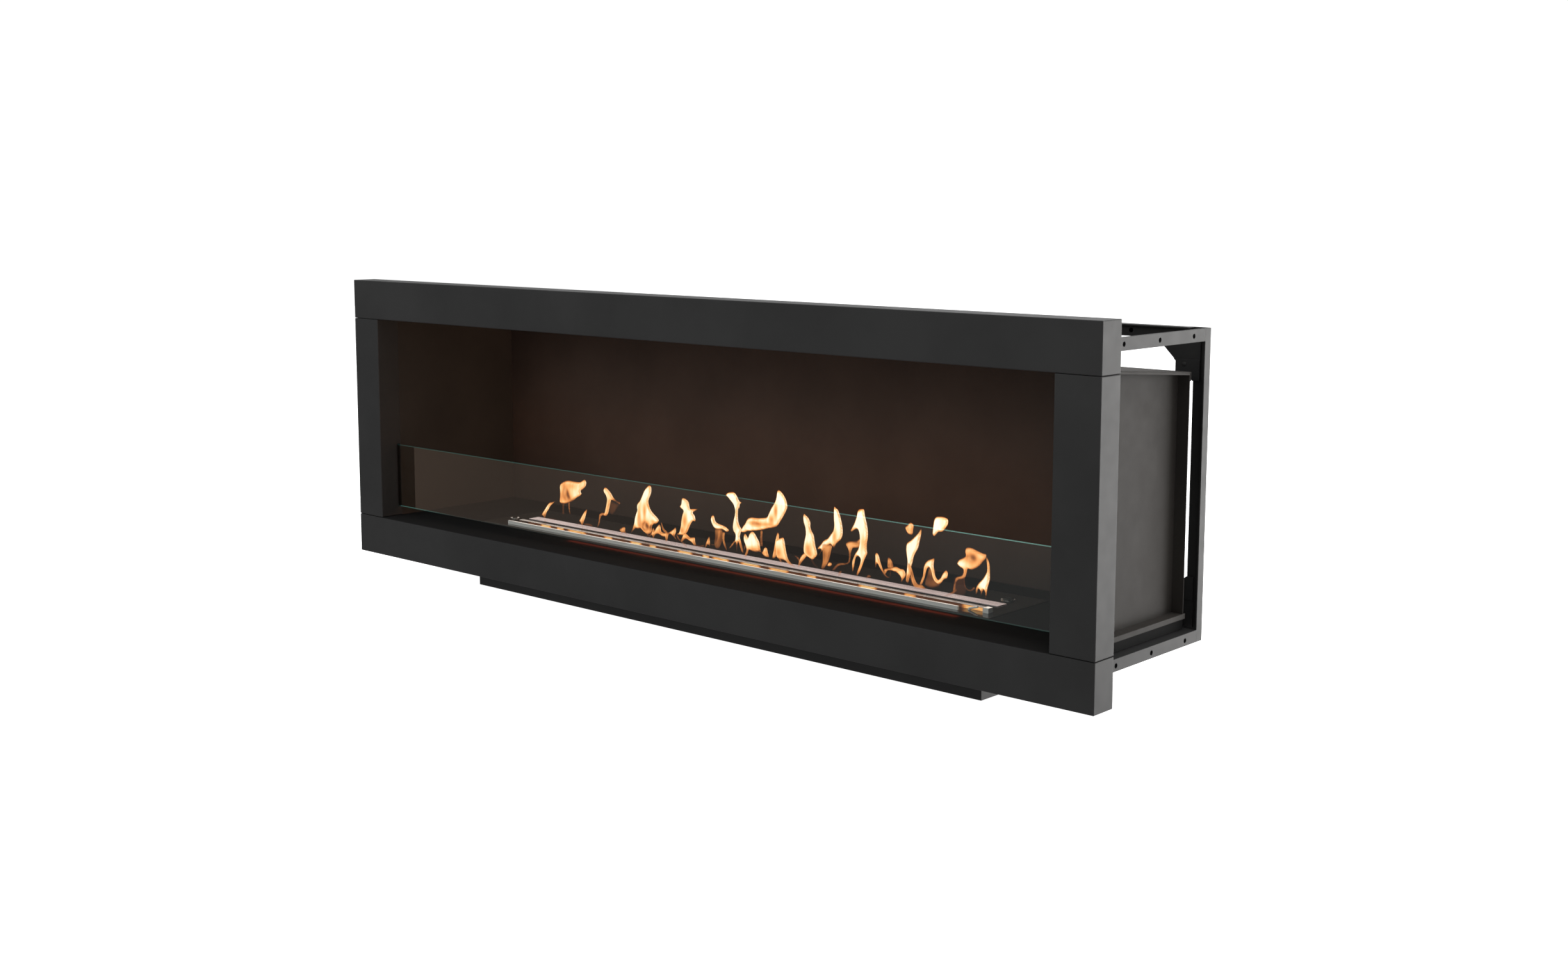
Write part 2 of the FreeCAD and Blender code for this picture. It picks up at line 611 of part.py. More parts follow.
def burner_casing():
    """The folded box under the floor pan, hung from it by outward flanges."""
    outer = block(-CASING_HALF, CASING_HALF, CASING_FRONT_Y, CASING_REAR_Y, 0, PAN_UNDERSIDE_Z)
    low_edges = [edge for edge in outer.Edges
                 if max(vertex.Z for vertex in edge.Vertexes) < 1]
    outer = outer.makeFillet(1.2, low_edges)
    flange = block(-CASING_HALF - CASING_FLANGE, CASING_HALF + CASING_FLANGE,
                   CASING_FRONT_Y - CASING_FLANGE, CASING_REAR_Y + CASING_FLANGE,
                   PAN_UNDERSIDE_Z - FIREBOX_SHEET, PAN_UNDERSIDE_Z)
    hollow = block(-CASING_HALF + FIREBOX_SHEET, CASING_HALF - FIREBOX_SHEET,
                   CASING_FRONT_Y + FIREBOX_SHEET, CASING_REAR_Y - FIREBOX_SHEET,
                   FIREBOX_SHEET, PAN_UNDERSIDE_Z + 1)
    holes = [rod(x, y, PAN_UNDERSIDE_Z - 5, Z_AXIS, 2.2, 10) for x, y in casing_stud_places()]
    holes += vent_slots(-CASING_HALF) + vent_slots(CASING_HALF)
    holes.append(inlet_body_outline(CASING_REAR_Y - 5))
    return cut_all(fuse([outer, flange]).cut(hollow), holes)


def casing_studs():
    """Studs welded under the floor pan, each with a nut below the casing's flange."""
    solids = []
    nut_top = PAN_UNDERSIDE_Z - FIREBOX_SHEET
    for x, y in casing_stud_places():
        solids.append(rod(x, y, nut_top - 5.5, Z_AXIS, 2.0, FIREBOX_SHEET + 5.5))
        nut = hexagon(x, y, nut_top - 3.2, Z_AXIS, 7.0, 3.2)
        solids.append(nut.cut(rod(x, y, nut_top - 5, Z_AXIS, 2.0, 10)))
    return Part.makeCompound(solids)


def burner_plate():
    """The flat top plate, with the flame slot and holes for the filler and the button."""
    plate = block(PLATE_LEFT_X, -PLATE_LEFT_X, BURNER_CENTRE_Y - PLATE_DEPTH / 2,
                  BURNER_CENTRE_Y + PLATE_DEPTH / 2, FLOOR_Z, PLATE_Z)
    slot = block(SLOT_LEFT_X, SLOT_RIGHT_X, SLOT_FRONT_Y, SLOT_REAR_Y, FLOOR_Z - 1, PLATE_Z + 1)
    upright = [edge for edge in slot.Edges
               if abs(edge.Vertexes[0].Z - edge.Vertexes[1].Z) > 1]
    slot = slot.makeFillet(3.0, upright)
    filler = rod(FILLER_X, FILLER_Y, FLOOR_Z - 1, Z_AXIS, NECK_OUTER_RADIUS + 0.3, 5)
    button = rod(BUTTON_X, BUTTON_Y, FLOOR_Z - 1, Z_AXIS, 7.7, 5)
    return cut_all(plate, [slot, filler, button])


def front_rail():
    """The bright flat bar on edge along the front of the burner."""
    bar = block(FRONT_RAIL_LEFT_X, FRONT_RAIL_RIGHT_X, FRONT_RAIL_FRONT_Y,
                FRONT_RAIL_FRONT_Y + FRONT_RAIL_THICKNESS, PLATE_Z, PLATE_Z + RAIL_HEIGHT)
    long_edges = [edge for edge in bar.Edges
                  if edge.Length > 500 and edge.Vertexes[0].Z > PLATE_Z + 1]
    return bar.makeFillet(0.5, long_edges)


def rail_end_block():
    """The small block that closes the ignition bay at its right end."""
    x0 = INNER_RAIL_RIGHT_X + 2
    body = block(x0, x0 + END_BLOCK_LENGTH, INNER_RAIL_FRONT_Y - 6.5, INNER_RAIL_FRONT_Y + 6.5,
                 PLATE_Z, PLATE_Z + END_BLOCK_HEIGHT)
    top_edges = [edge for edge in body.Edges
                 if min(vertex.Z for vertex in edge.Vertexes) > PLATE_Z + 1]
    return body.makeFillet(0.6, top_edges)


def inner_rail():
    """The perforated wall in front of the slot, its top edge turned back as a lip."""
    top_z = PLATE_Z + RAIL_HEIGHT
    left_x = FRONT_RAIL_LEFT_X + 12
    wall = block(left_x, INNER_RAIL_RIGHT_X, INNER_RAIL_FRONT_Y, INNER_RAIL_FRONT_Y + 1.2,
                 PLATE_Z, top_z)
    lip = block(left_x, INNER_RAIL_RIGHT_X, INNER_RAIL_FRONT_Y, INNER_RAIL_REAR_Y,
                top_z - 1.2, top_z)
    count = int((INNER_RAIL_RIGHT_X - left_x) // PERFORATION_PITCH)
    holes = [rod(left_x + PERFORATION_PITCH * (index + 0.5), INNER_RAIL_FRONT_Y - 1,
                 PLATE_Z + 2.7, Y_AXIS, PERFORATION_RADIUS, 4) for index in range(count)]
    return cut_all(fuse([wall, lip]), holes)


def rear_rail():
    """The flat stainless strip along the rear of the flame slot."""
    strip = block(REAR_RAIL_LEFT_X, REAR_RAIL_RIGHT_X, SLOT_REAR_Y,
                  SLOT_REAR_Y + REAR_RAIL_WIDTH, PLATE_Z, PLATE_Z + REAR_RAIL_THICKNESS)
    top_edges = [edge for edge in strip.Edges
                 if min(vertex.Z for vertex in edge.Vertexes) > PLATE_Z + 1]
    return strip.makeFillet(0.3, top_edges)


def burner_trough():
    """The open channel under the slot where the fuel evaporates."""
    x0 = SLOT_LEFT_X - 2 * TROUGH_WALL
    x1 = SLOT_RIGHT_X + 2 * TROUGH_WALL
    y0 = SLOT_FRONT_Y - TROUGH_WALL
    y1 = SLOT_REAR_Y + TROUGH_WALL
    outer = block(x0, x1, y0, y1, TROUGH_BOTTOM_Z, FLOOR_Z)
    hollow = block(x0 + FIREBOX_SHEET, x1 - FIREBOX_SHEET, y0 + FIREBOX_SHEET,
                   y1 - FIREBOX_SHEET, TROUGH_BOTTOM_Z + FIREBOX_SHEET, FLOOR_Z + 1)
    feed = rod(PUMP_X, SLOT_CENTRE_Y, TROUGH_BOTTOM_Z - 1, Z_AXIS, LINE_BORE_RADIUS, 5)
    heater_way = rod(x1 - 5, SLOT_CENTRE_Y, TUBE_Z, X_AXIS, HEATER_RADIUS + 0.2, 10)
    return cut_all(outer, [hollow, feed, heater_way])


def vapour_tube():
    """The perforated tube that lies along the trough."""
    x0 = SLOT_LEFT_X - 2 * TROUGH_WALL + FIREBOX_SHEET
    x1 = SLOT_RIGHT_X + 2 * TROUGH_WALL - FIREBOX_SHEET
    pipe = tube(x0, SLOT_CENTRE_Y, TUBE_Z, X_AXIS, VAPOUR_TUBE_RADIUS,
                VAPOUR_TUBE_RADIUS - VAPOUR_TUBE_WALL, x1 - x0)
    count = int((SLOT_RIGHT_X - SLOT_LEFT_X) // VAPOUR_HOLE_PITCH)
    holes = [rod(SLOT_LEFT_X + VAPOUR_HOLE_PITCH * (index + 0.5), SLOT_CENTRE_Y, TUBE_Z,
                 Z_AXIS, PERFORATION_RADIUS, 12) for index in range(count)]
    return cut_all(pipe, holes)


def heater_element():
    """The sheathed heater, centred in the tube by collars; its terminal end passes
    the trough's end wall."""
    x0 = SLOT_LEFT_X
    x1 = SLOT_RIGHT_X + 2 * TROUGH_WALL + 8
    sheath = rod(x0, SLOT_CENTRE_Y, TUBE_Z, X_AXIS, HEATER_RADIUS, x1 - x0)
    terminal = rod(x1, SLOT_CENTRE_Y, TUBE_Z, X_AXIS, 1.0, 7)
    collars = [rod(x, SLOT_CENTRE_Y, TUBE_Z, X_AXIS, VAPOUR_TUBE_RADIUS - VAPOUR_TUBE_WALL, 4)
               for x in (-500, -250, 0, 250, 500)]
    return fuse([sheath, terminal] + collars)


def igniter_rod():
    """The glow igniter: a thin rod leaning across the bay, from a foot on the plate."""
    foot = rod(584.0, INNER_RAIL_FRONT_Y - 4, PLATE_Z, Z_AXIS, 2.2, 2.4)
    lean = FreeCAD.Vector(17.5, 0, 5.0)
    point = Part.makeCylinder(IGNITER_RADIUS, lean.Length,
                              FreeCAD.Vector(584.0, INNER_RAIL_FRONT_Y - 4, PLATE_Z + 2.2), lean)
    return fuse([foot, point])


# ---------------------------------------------------------------- fuel system
def filler_neck():
    """The tube from the plate down into the tank, with a flat rim on the plate."""
    low_z = TANK_TOP_Z - 4
    pipe = rod(FILLER_X, FILLER_Y, low_z, Z_AXIS, NECK_OUTER_RADIUS, PLATE_Z - low_z)
    rim = rod(FILLER_X, FILLER_Y, PLATE_Z, Z_AXIS, NECK_RIM_RADIUS, 1.2)
    bore = rod(FILLER_X, FILLER_Y, low_z - 1, Z_AXIS, NECK_BORE_RADIUS, 60)
    return fuse([pipe, rim]).cut(bore)


def filler_cap():
    """The quarter-turn cap: a flat head with a coin slot, and a plug in the neck."""
    seat_z = PLATE_Z + 1.2 + 0.3
    head = rod(FILLER_X, FILLER_Y, seat_z, Z_AXIS, CAP_RADIUS, 2.4)
    rim = [edge for edge in head.Edges if edge.Vertexes[0].Z > seat_z + 1 and edge.Length > 50]
    head = head.makeChamfer(0.6, rim)
    plug = rod(FILLER_X, FILLER_Y, PLATE_Z - 16, Z_AXIS, NECK_BORE_RADIUS - CAP_CLEARANCE,
               seat_z - PLATE_Z + 16)
    slot = block(FILLER_X - 8, FILLER_X + 8, FILLER_Y - 1.2, FILLER_Y + 1.2,
                 seat_z + 1.0, seat_z + 3)
    return fuse([head, plug]).cut(slot)


def fuel_tank():
    """The welded tank in the casing, with holes for the neck, float stem and line."""
    outer = block(TANK_LEFT_X, TANK_RIGHT_X, TANK_FRONT_Y, TANK_REAR_Y, TANK_BOTTOM_Z, TANK_TOP_Z)
    upright = [edge for edge in outer.Edges
               if abs(edge.Vertexes[0].Z - edge.Vertexes[1].Z) > 1]
    outer = outer.makeFillet(8.0, upright)
    wall = FIREBOX_SHEET
    hollow = block(TANK_LEFT_X + wall, TANK_RIGHT_X - wall, TANK_FRONT_Y + wall,
                   TANK_REAR_Y - wall, TANK_BOTTOM_Z + wall, TANK_TOP_Z - wall)
    upright = [edge for edge in hollow.Edges
               if abs(edge.Vertexes[0].Z - edge.Vertexes[1].Z) > 1]
    hollow = hollow.makeFillet(6.5, upright)
    neck = rod(FILLER_X, FILLER_Y, TANK_TOP_Z - 5, Z_AXIS, NECK_OUTER_RADIUS + 0.1, 10)
    stem = rod(FLOAT_X, FLOAT_Y, TANK_TOP_Z - 5, Z_AXIS, STEM_RADIUS, 10)
    line = rod(TANK_LEFT_X - 5, SLOT_CENTRE_Y, 28, X_AXIS, LINE_BORE_RADIUS, 10)
    return cut_all(outer.cut(hollow), [neck, stem, line])


def tank_feet():
    """Rubber blocks that hold the tank off the casing's floor."""
    feet = []
    for x in (TANK_LEFT_X + 60, TANK_RIGHT_X - 60):
        for y in (TANK_FRONT_Y + 20, TANK_REAR_Y - 20):
            feet.append(block(x - 15, x + 15, y - 12, y + 12, FIREBOX_SHEET, TANK_BOTTOM_Z))
    return Part.makeCompound(feet)


def float_stem():
    """The level sensor's stem and its flanged head on the tank's top."""
    stem = rod(FLOAT_X, FLOAT_Y, TANK_BOTTOM_Z + FIREBOX_SHEET, Z_AXIS, STEM_RADIUS,
               TANK_TOP_Z - TANK_BOTTOM_Z - FIREBOX_SHEET + 1)
    flange = rod(FLOAT_X, FLOAT_Y, TANK_TOP_Z, Z_AXIS, 14, 2)
    head = hexagon(FLOAT_X, FLOAT_Y, TANK_TOP_Z + 2, Z_AXIS, 17, 6)
    return fuse([stem, flange, head])


def level_float():
    """The float ring that rides up and down the stem with the fuel."""
    low_z = TANK_BOTTOM_Z + FIREBOX_SHEET + 0.7
    ring = rod(FLOAT_X, FLOAT_Y, low_z, Z_AXIS, FLOAT_RADIUS, FLOAT_HEIGHT)
    ring = ring.makeFillet(3.0, [edge for edge in ring.Edges if edge.Length > 80])
    return ring.cut(rod(FLOAT_X, FLOAT_Y, low_z - 1, Z_AXIS, STEM_RADIUS + 0.4, FLOAT_HEIGHT + 2))


def fuel_pump():
    """The pump head, its motor lying along X, and a foot on the casing's floor."""
    head = block(PUMP_X - 25, PUMP_X + 25, SLOT_CENTRE_Y - 26, SLOT_CENTRE_Y + 26, 10, 44)
    motor = rod(PUMP_X - 80, SLOT_CENTRE_Y, 28, X_AXIS, 17, 55)
    foot = block(PUMP_X - 70, PUMP_X + 20, SLOT_CENTRE_Y - 20, SLOT_CENTRE_Y + 20,
                 FIREBOX_SHEET, 14)
    return fuse([head, motor, foot])


def fuel_lines():
    """The short line from the tank to the pump, and the feed up to the trough."""
    suction = tube(PUMP_X + 25, SLOT_CENTRE_Y, 28, X_AXIS, LINE_RADIUS, LINE_BORE_RADIUS,
                   TANK_LEFT_X - PUMP_X - 25)
    feed = tube(PUMP_X, SLOT_CENTRE_Y, 44, Z_AXIS, LINE_RADIUS, LINE_BORE_RADIUS,
                TROUGH_BOTTOM_Z - 44)
    return Part.makeCompound([suction, feed])


# ---------------------------------------------------------------- controls
def button_switch():
    """The switch body under the plate, with a rim round the button."""
    low_z = PLATE_Z - 28
    body = rod(BUTTON_X, BUTTON_Y, low_z, Z_AXIS, 7.5, PLATE_Z - low_z)
    rim = rod(BUTTON_X, BUTTON_Y, PLATE_Z, Z_AXIS, 9.0, 1.2)
    bore = rod(BUTTON_X, BUTTON_Y, low_z + 3, Z_AXIS, BUTTON_RADIUS + BUTTON_CLEARANCE, 40)
    return fuse([body, rim]).cut(bore)


def power_button():
    low_z = PLATE_Z - 13
    top_z = PLATE_Z + 1.2 + BUTTON_PROUD
    cap = rod(BUTTON_X, BUTTON_Y, low_z, Z_AXIS, BUTTON_RADIUS, top_z - low_z)
    crown = [edge for edge in cap.Edges if edge.Vertexes[0].Z > top_z - 0.1 and edge.Length > 30]
    return cap.makeFillet(0.5, crown)


def button_spring():
    """The return spring under the button."""
    low_z = PLATE_Z - 25
    height = 12.0 - 2 * SPRING_WIRE
    helix = Part.makeHelix(height / SPRING_TURNS, height, SPRING_RADIUS)
    start = FreeCAD.Vector(SPRING_RADIUS, 0, 0)
    ring = Part.Wire(Part.Circle(start, Y_AXIS, SPRING_WIRE).toShape())
    spring = Part.Wire(helix.Edges).makePipeShell([ring], True, True)
    spring.translate(FreeCAD.Vector(BUTTON_X, BUTTON_Y, low_z + SPRING_WIRE))
    return spring


def fan_frame():
    """The square fan housing with its round duct, three struts and shaft."""
    x0 = -CASING_HALF + FIREBOX_SHEET
    x1 = x0 + FAN_THICKNESS
    half = FAN_SIZE / 2
    housing = block(x0, x1, BURNER_CENTRE_Y - half, BURNER_CENTRE_Y + half, FAN_Z - half,
                    FAN_Z + half)
    housing = housing.cut(rod(x0 - 1, BURNER_CENTRE_Y, FAN_Z, X_AXIS, half - 2, FAN_THICKNESS + 2))
    hub = rod(x1 - 2, BURNER_CENTRE_Y, FAN_Z, X_AXIS, 12, 2)
    shaft = rod(x0 + 3, BURNER_CENTRE_Y, FAN_Z, X_AXIS, FAN_SHAFT_RADIUS, FAN_THICKNESS - 4)
    struts = []
    for index in range(3):
        strut = block(x1 - 2, x1, -2, 2, 10, half - 1)
        strut.rotate(FreeCAD.Vector(0, 0, 0), X_AXIS, 120 * index + 30)
        strut.translate(FreeCAD.Vector(0, BURNER_CENTRE_Y, FAN_Z))
        struts.append(strut)
    return fuse([housing, hub, shaft] + struts)


def fan_rotor():
    """The hub and its pitched blades, turning on the housing's shaft."""
    x0 = -CASING_HALF + FIREBOX_SHEET + 2
    length = FAN_THICKNESS - 5
    hub = rod(x0, 0, 0, X_AXIS, 12, length)
    blades = []
    for index in range(FAN_BLADES):
        blade = block(-6.5, 6.5, -0.7, 0.7, 10, FAN_SIZE / 2 - 3.2)
        blade.rotate(FreeCAD.Vector(0, 0, 0), Z_AXIS, 38)
        blade.translate(FreeCAD.Vector(x0 + length / 2, 0, 0))
        blade.rotate(FreeCAD.Vector(0, 0, 0), X_AXIS, 360.0 * index / FAN_BLADES)
        blades.append(blade)
    rotor = fuse([hub] + blades)
    bore = rod(x0 + 1, 0, 0, X_AXIS, FAN_SHAFT_RADIUS + FAN_SHAFT_CLEARANCE, length)
    rotor = rotor.cut(bore)
    rotor.translate(FreeCAD.Vector(0, BURNER_CENTRE_Y, FAN_Z))
    return rotor


def control_board():
    """The circuit board on its four posts, with its larger components."""
    x0, x1, y0, y1 = -600.0, -470.0, -80.0, 20.0
    board_z = 20.0
    parts = [block(x0, x1, y0, y1, board_z, board_z + 1.6)]
    for x in (x0 + 6, x1 - 6):
        for y in (y0 + 6, y1 - 6):
            parts.append(rod(x, y, FIREBOX_SHEET, Z_AXIS, 3, board_z - FIREBOX_SHEET + 2.5))
    top = board_z + 1.6
    parts.append(block(x0 + 15, x0 + 47, y0 + 15, y0 + 43, top, top + 24))
    for index in range(3):
        parts.append(block(x0 + 60 + 20 * index, x0 + 76 + 20 * index, y0 + 12, y0 + 32,
                           top, top + 15))
        parts.append(rod(x0 + 25 + 14 * index, y1 - 28, top, Z_AXIS, 5, 14))
    parts.append(block(x1 - 42, x1 - 22, y1 - 50, y1 - 30, top, top + 2.5))
    parts.append(block(x1 - 70, x1 - 14, y1 - 12, y1 - 2, top, top + 9))
    return fuse(parts)


def power_supply():
    """The boxed power supply, with vent holes sunk into its lid."""
    x0, x1, y0, y1 = -440.0, -290.0, -60.0, 30.0
    top_z = 41.5
    body = block(x0, x1, y0, y1, FIREBOX_SHEET, top_z)
    vents = [rod(x0 + 15 + 15 * column, y0 + 15 + 15 * row, top_z - 1.2, Z_AXIS, 3, 5)
             for column in range(9) for row in range(5)]
    return cut_all(body, vents)


def inlet_body_outline(front_y):
    return block(INLET_X - 19.5, INLET_X + 19.5, front_y, CASING_REAR_Y + 1,
                 INLET_Z - 11, INLET_Z + 11)


def power_inlet():
    """The appliance inlet in the casing's rear wall: a flanged socket, open to the rear."""
    body = block(INLET_X - 19.5, INLET_X + 19.5, CASING_REAR_Y - 21, CASING_REAR_Y,
                 INLET_Z - 11, INLET_Z + 11)
    flange = block(INLET_X - 24, INLET_X + 24, CASING_REAR_Y, CASING_REAR_Y + 2,
                   INLET_Z - 15, INLET_Z + 15)
    recess = block(INLET_X - 16.5, INLET_X + 16.5, CASING_REAR_Y - 16, CASING_REAR_Y + 3,
                   INLET_Z - 8, INLET_Z + 8)
    return fuse([body, flange]).cut(recess)


def inlet_pins():
    """The three contact blades standing in the inlet's recess."""
    places = ((-7.0, -2.5), (0.0, 2.5), (7.0, -2.5))
    return Part.makeCompound([
        block(INLET_X + dx - 1, INLET_X + dx + 1, CASING_REAR_Y - 16, CASING_REAR_Y - 2,
              INLET_Z + dz - 2, INLET_Z + dz + 2) for dx, dz in places])


# ---------------------------------------------------------------- the whole object
def handed(stem, shape):
    """A right-hand piece and its left-hand twin, as two named nodes."""
    return {stem.format("right"): shape, stem.format("left"): mirrored(shape)}


def build():
    nodes = {
        "trim_top_rail": trim_rail(OPENING_TOP_Z, TRIM_TOP_Z),
        "trim_bottom_rail": trim_rail(TRIM_BOTTOM_Z, OPENING_BOTTOM_Z),
        "trim_bolts": trim_bolts(),
        "frame_rear_top_rail": rear_top_rail(),
        "frame_rear_bottom_rail": rear_bottom_rail(),
        "frame_front_top_rail": front_top_rail(),
        "frame_front_bottom_rail": front_bottom_rail(),
        "stay_spacers": stay_spacers(),
        "stay_bolts": stay_bolts(),
        "firebox_back_panel": firebox_back(),
        "firebox_roof": firebox_roof(),
        "firebox_floor_pan": firebox_floor(),
        "sheet_rivets": sheet_rivets(),
        "glass_pane": glass_pane(),
        "burner_casing": burner_casing(),
        "casing_studs": casing_studs(),
        "burner_top_plate": burner_plate(),
        "burner_front_rail": front_rail(),
        "burner_end_block": rail_end_block(),
        "burner_inner_rail": inner_rail(),
        "burner_rear_rail": rear_rail(),
        "burner_trough": burner_trough(),
        "vapour_tube": vapour_tube(),
        "heater_element": heater_element(),
        "igniter_rod": igniter_rod(),
        "filler_neck": filler_neck(),
        "filler_cap": filler_cap(),
        "fuel_tank": fuel_tank(),
        "tank_feet": tank_feet(),
        "float_stem": float_stem(),
        "level_float": level_float(),
        "fuel_pump": fuel_pump(),
        "fuel_lines": fuel_lines(),
        "button_switch": button_switch(),
        "power_button": power_button(),
        "button_spring": button_spring(),
        "fan_frame": fan_frame(),
        "fan_rotor": fan_rotor(),
        "control_board": control_board(),
        "power_supply": power_supply(),
        "power_inlet": power_inlet(),
        "inlet_pins": inlet_pins(),
    }
    nodes.update(handed("trim_{}_stile", trim_stile()))
    nodes.update(handed("frame_{}_top_rail", side_top_rail()))
    nodes.update(handed("frame_{}_bottom_rail", side_bottom_rail()))
    nodes.update(handed("frame_{}_rear_post", rear_post()))
    nodes.update(handed("frame_{}_front_post", front_post()))
    nodes.update(handed("upper_gusset_{}", upper_gusset()))
    nodes.update(handed("lower_gusset_{}", lower_gusset()))
    nodes.update(handed("firebox_{}_side", firebox_side()))
    nodes.update(handed("glass_channel_{}", glass_channel()))
    return nodes


os.makedirs("parts", exist_ok=True)
for name, shape in sorted(build().items()):
    if not shape.isValid():
        print("not valid:", name)
    shape.exportStep("parts/" + name + ".step")
    print(name, len(shape.Solids), "solid(s), volume", round(shape.Volume))
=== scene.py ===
import math

import bpy
from mathutils import Matrix, Vector
from mathutils.geometry import delaunay_2d_cdt
from mathutils.kdtree import KDTree

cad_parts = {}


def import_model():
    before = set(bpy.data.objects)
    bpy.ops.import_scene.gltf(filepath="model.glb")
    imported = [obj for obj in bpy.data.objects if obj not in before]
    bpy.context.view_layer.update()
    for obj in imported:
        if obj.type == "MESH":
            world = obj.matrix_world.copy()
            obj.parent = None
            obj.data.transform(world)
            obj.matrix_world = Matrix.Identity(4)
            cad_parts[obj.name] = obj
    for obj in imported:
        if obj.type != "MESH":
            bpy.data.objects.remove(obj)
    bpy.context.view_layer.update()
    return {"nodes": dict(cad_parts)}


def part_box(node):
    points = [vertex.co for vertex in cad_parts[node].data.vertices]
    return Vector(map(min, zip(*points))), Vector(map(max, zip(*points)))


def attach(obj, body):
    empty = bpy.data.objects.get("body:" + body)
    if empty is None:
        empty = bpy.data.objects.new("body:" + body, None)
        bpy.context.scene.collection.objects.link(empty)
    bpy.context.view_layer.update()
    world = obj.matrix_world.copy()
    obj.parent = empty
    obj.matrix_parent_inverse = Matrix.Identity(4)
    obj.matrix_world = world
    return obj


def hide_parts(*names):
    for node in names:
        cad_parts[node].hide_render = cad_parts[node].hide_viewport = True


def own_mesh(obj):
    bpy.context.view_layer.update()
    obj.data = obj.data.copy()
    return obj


# Looks for the built-in linear fireplace: paints, stainless steel, glass, the
# flames over the burner, and a plain pale studio. Metres, in the CAD's frame.

ROOT = "fireplace"
MM = 0.001

# ------------------------------------------------------------------ camera
CAMERA_PLACE = (2.2616, -2.3669, 0.8034)
CAMERA_FORWARD = (-0.66437, 0.73706, -0.12390)
CAMERA_RIGHT = (0.74266, 0.66967, 0.00151)
CAMERA_SENSOR = 36.0
CAMERA_LENS = 40.58
CAMERA_SHIFT_Y = -0.0413

# ------------------------------------------------------------------ flames
# How the flames are shaped, in mm. They stand in the slot, whose centre line is FLAME_Y.
FLAME_Y = -15.0
FLAME_SWAY = 5.0            # how far a flame stands in front of or behind the line
SWAY_TURN = 2.3             # radians of sway from each flame to the next
FLAME_THICKNESS = 5.0       # half the thickness of a flame in its middle
FLAME_SHOULDER = 8.0        # how far in from the outline it is that thick
FLAME_CELL = 2.4            # spacing of the points inside a flame's outline
FLAME_STEPS = 5             # samples between two points of an outline
DEPTH_SPACING = 0.6         # spacing of the samples that depths are measured from
ON_OUTLINE = 0.05           # a point no deeper than this is on the outline
STRAND_LEAST = 0.3          # the least half width of a thin flame

# How heat and opacity fade: low and high limits, and the share that is left at the low one.
HEAT_BY_DEPTH = (0.2, 4.0, 0.42)        # an orange fringe along the outline
HEAT_BY_HEIGHT = (142, 172, 0.68)       # cooler at the foot
COVER_BY_DEPTH = (-0.4, 1.0, 0.0)       # a soft outline
COVER_BY_HEAT = (0.1, 0.5, 0.25)        # thin where it is cool
COVER_BY_HEIGHT = (136, 158, 0.45)      # thin at the foot

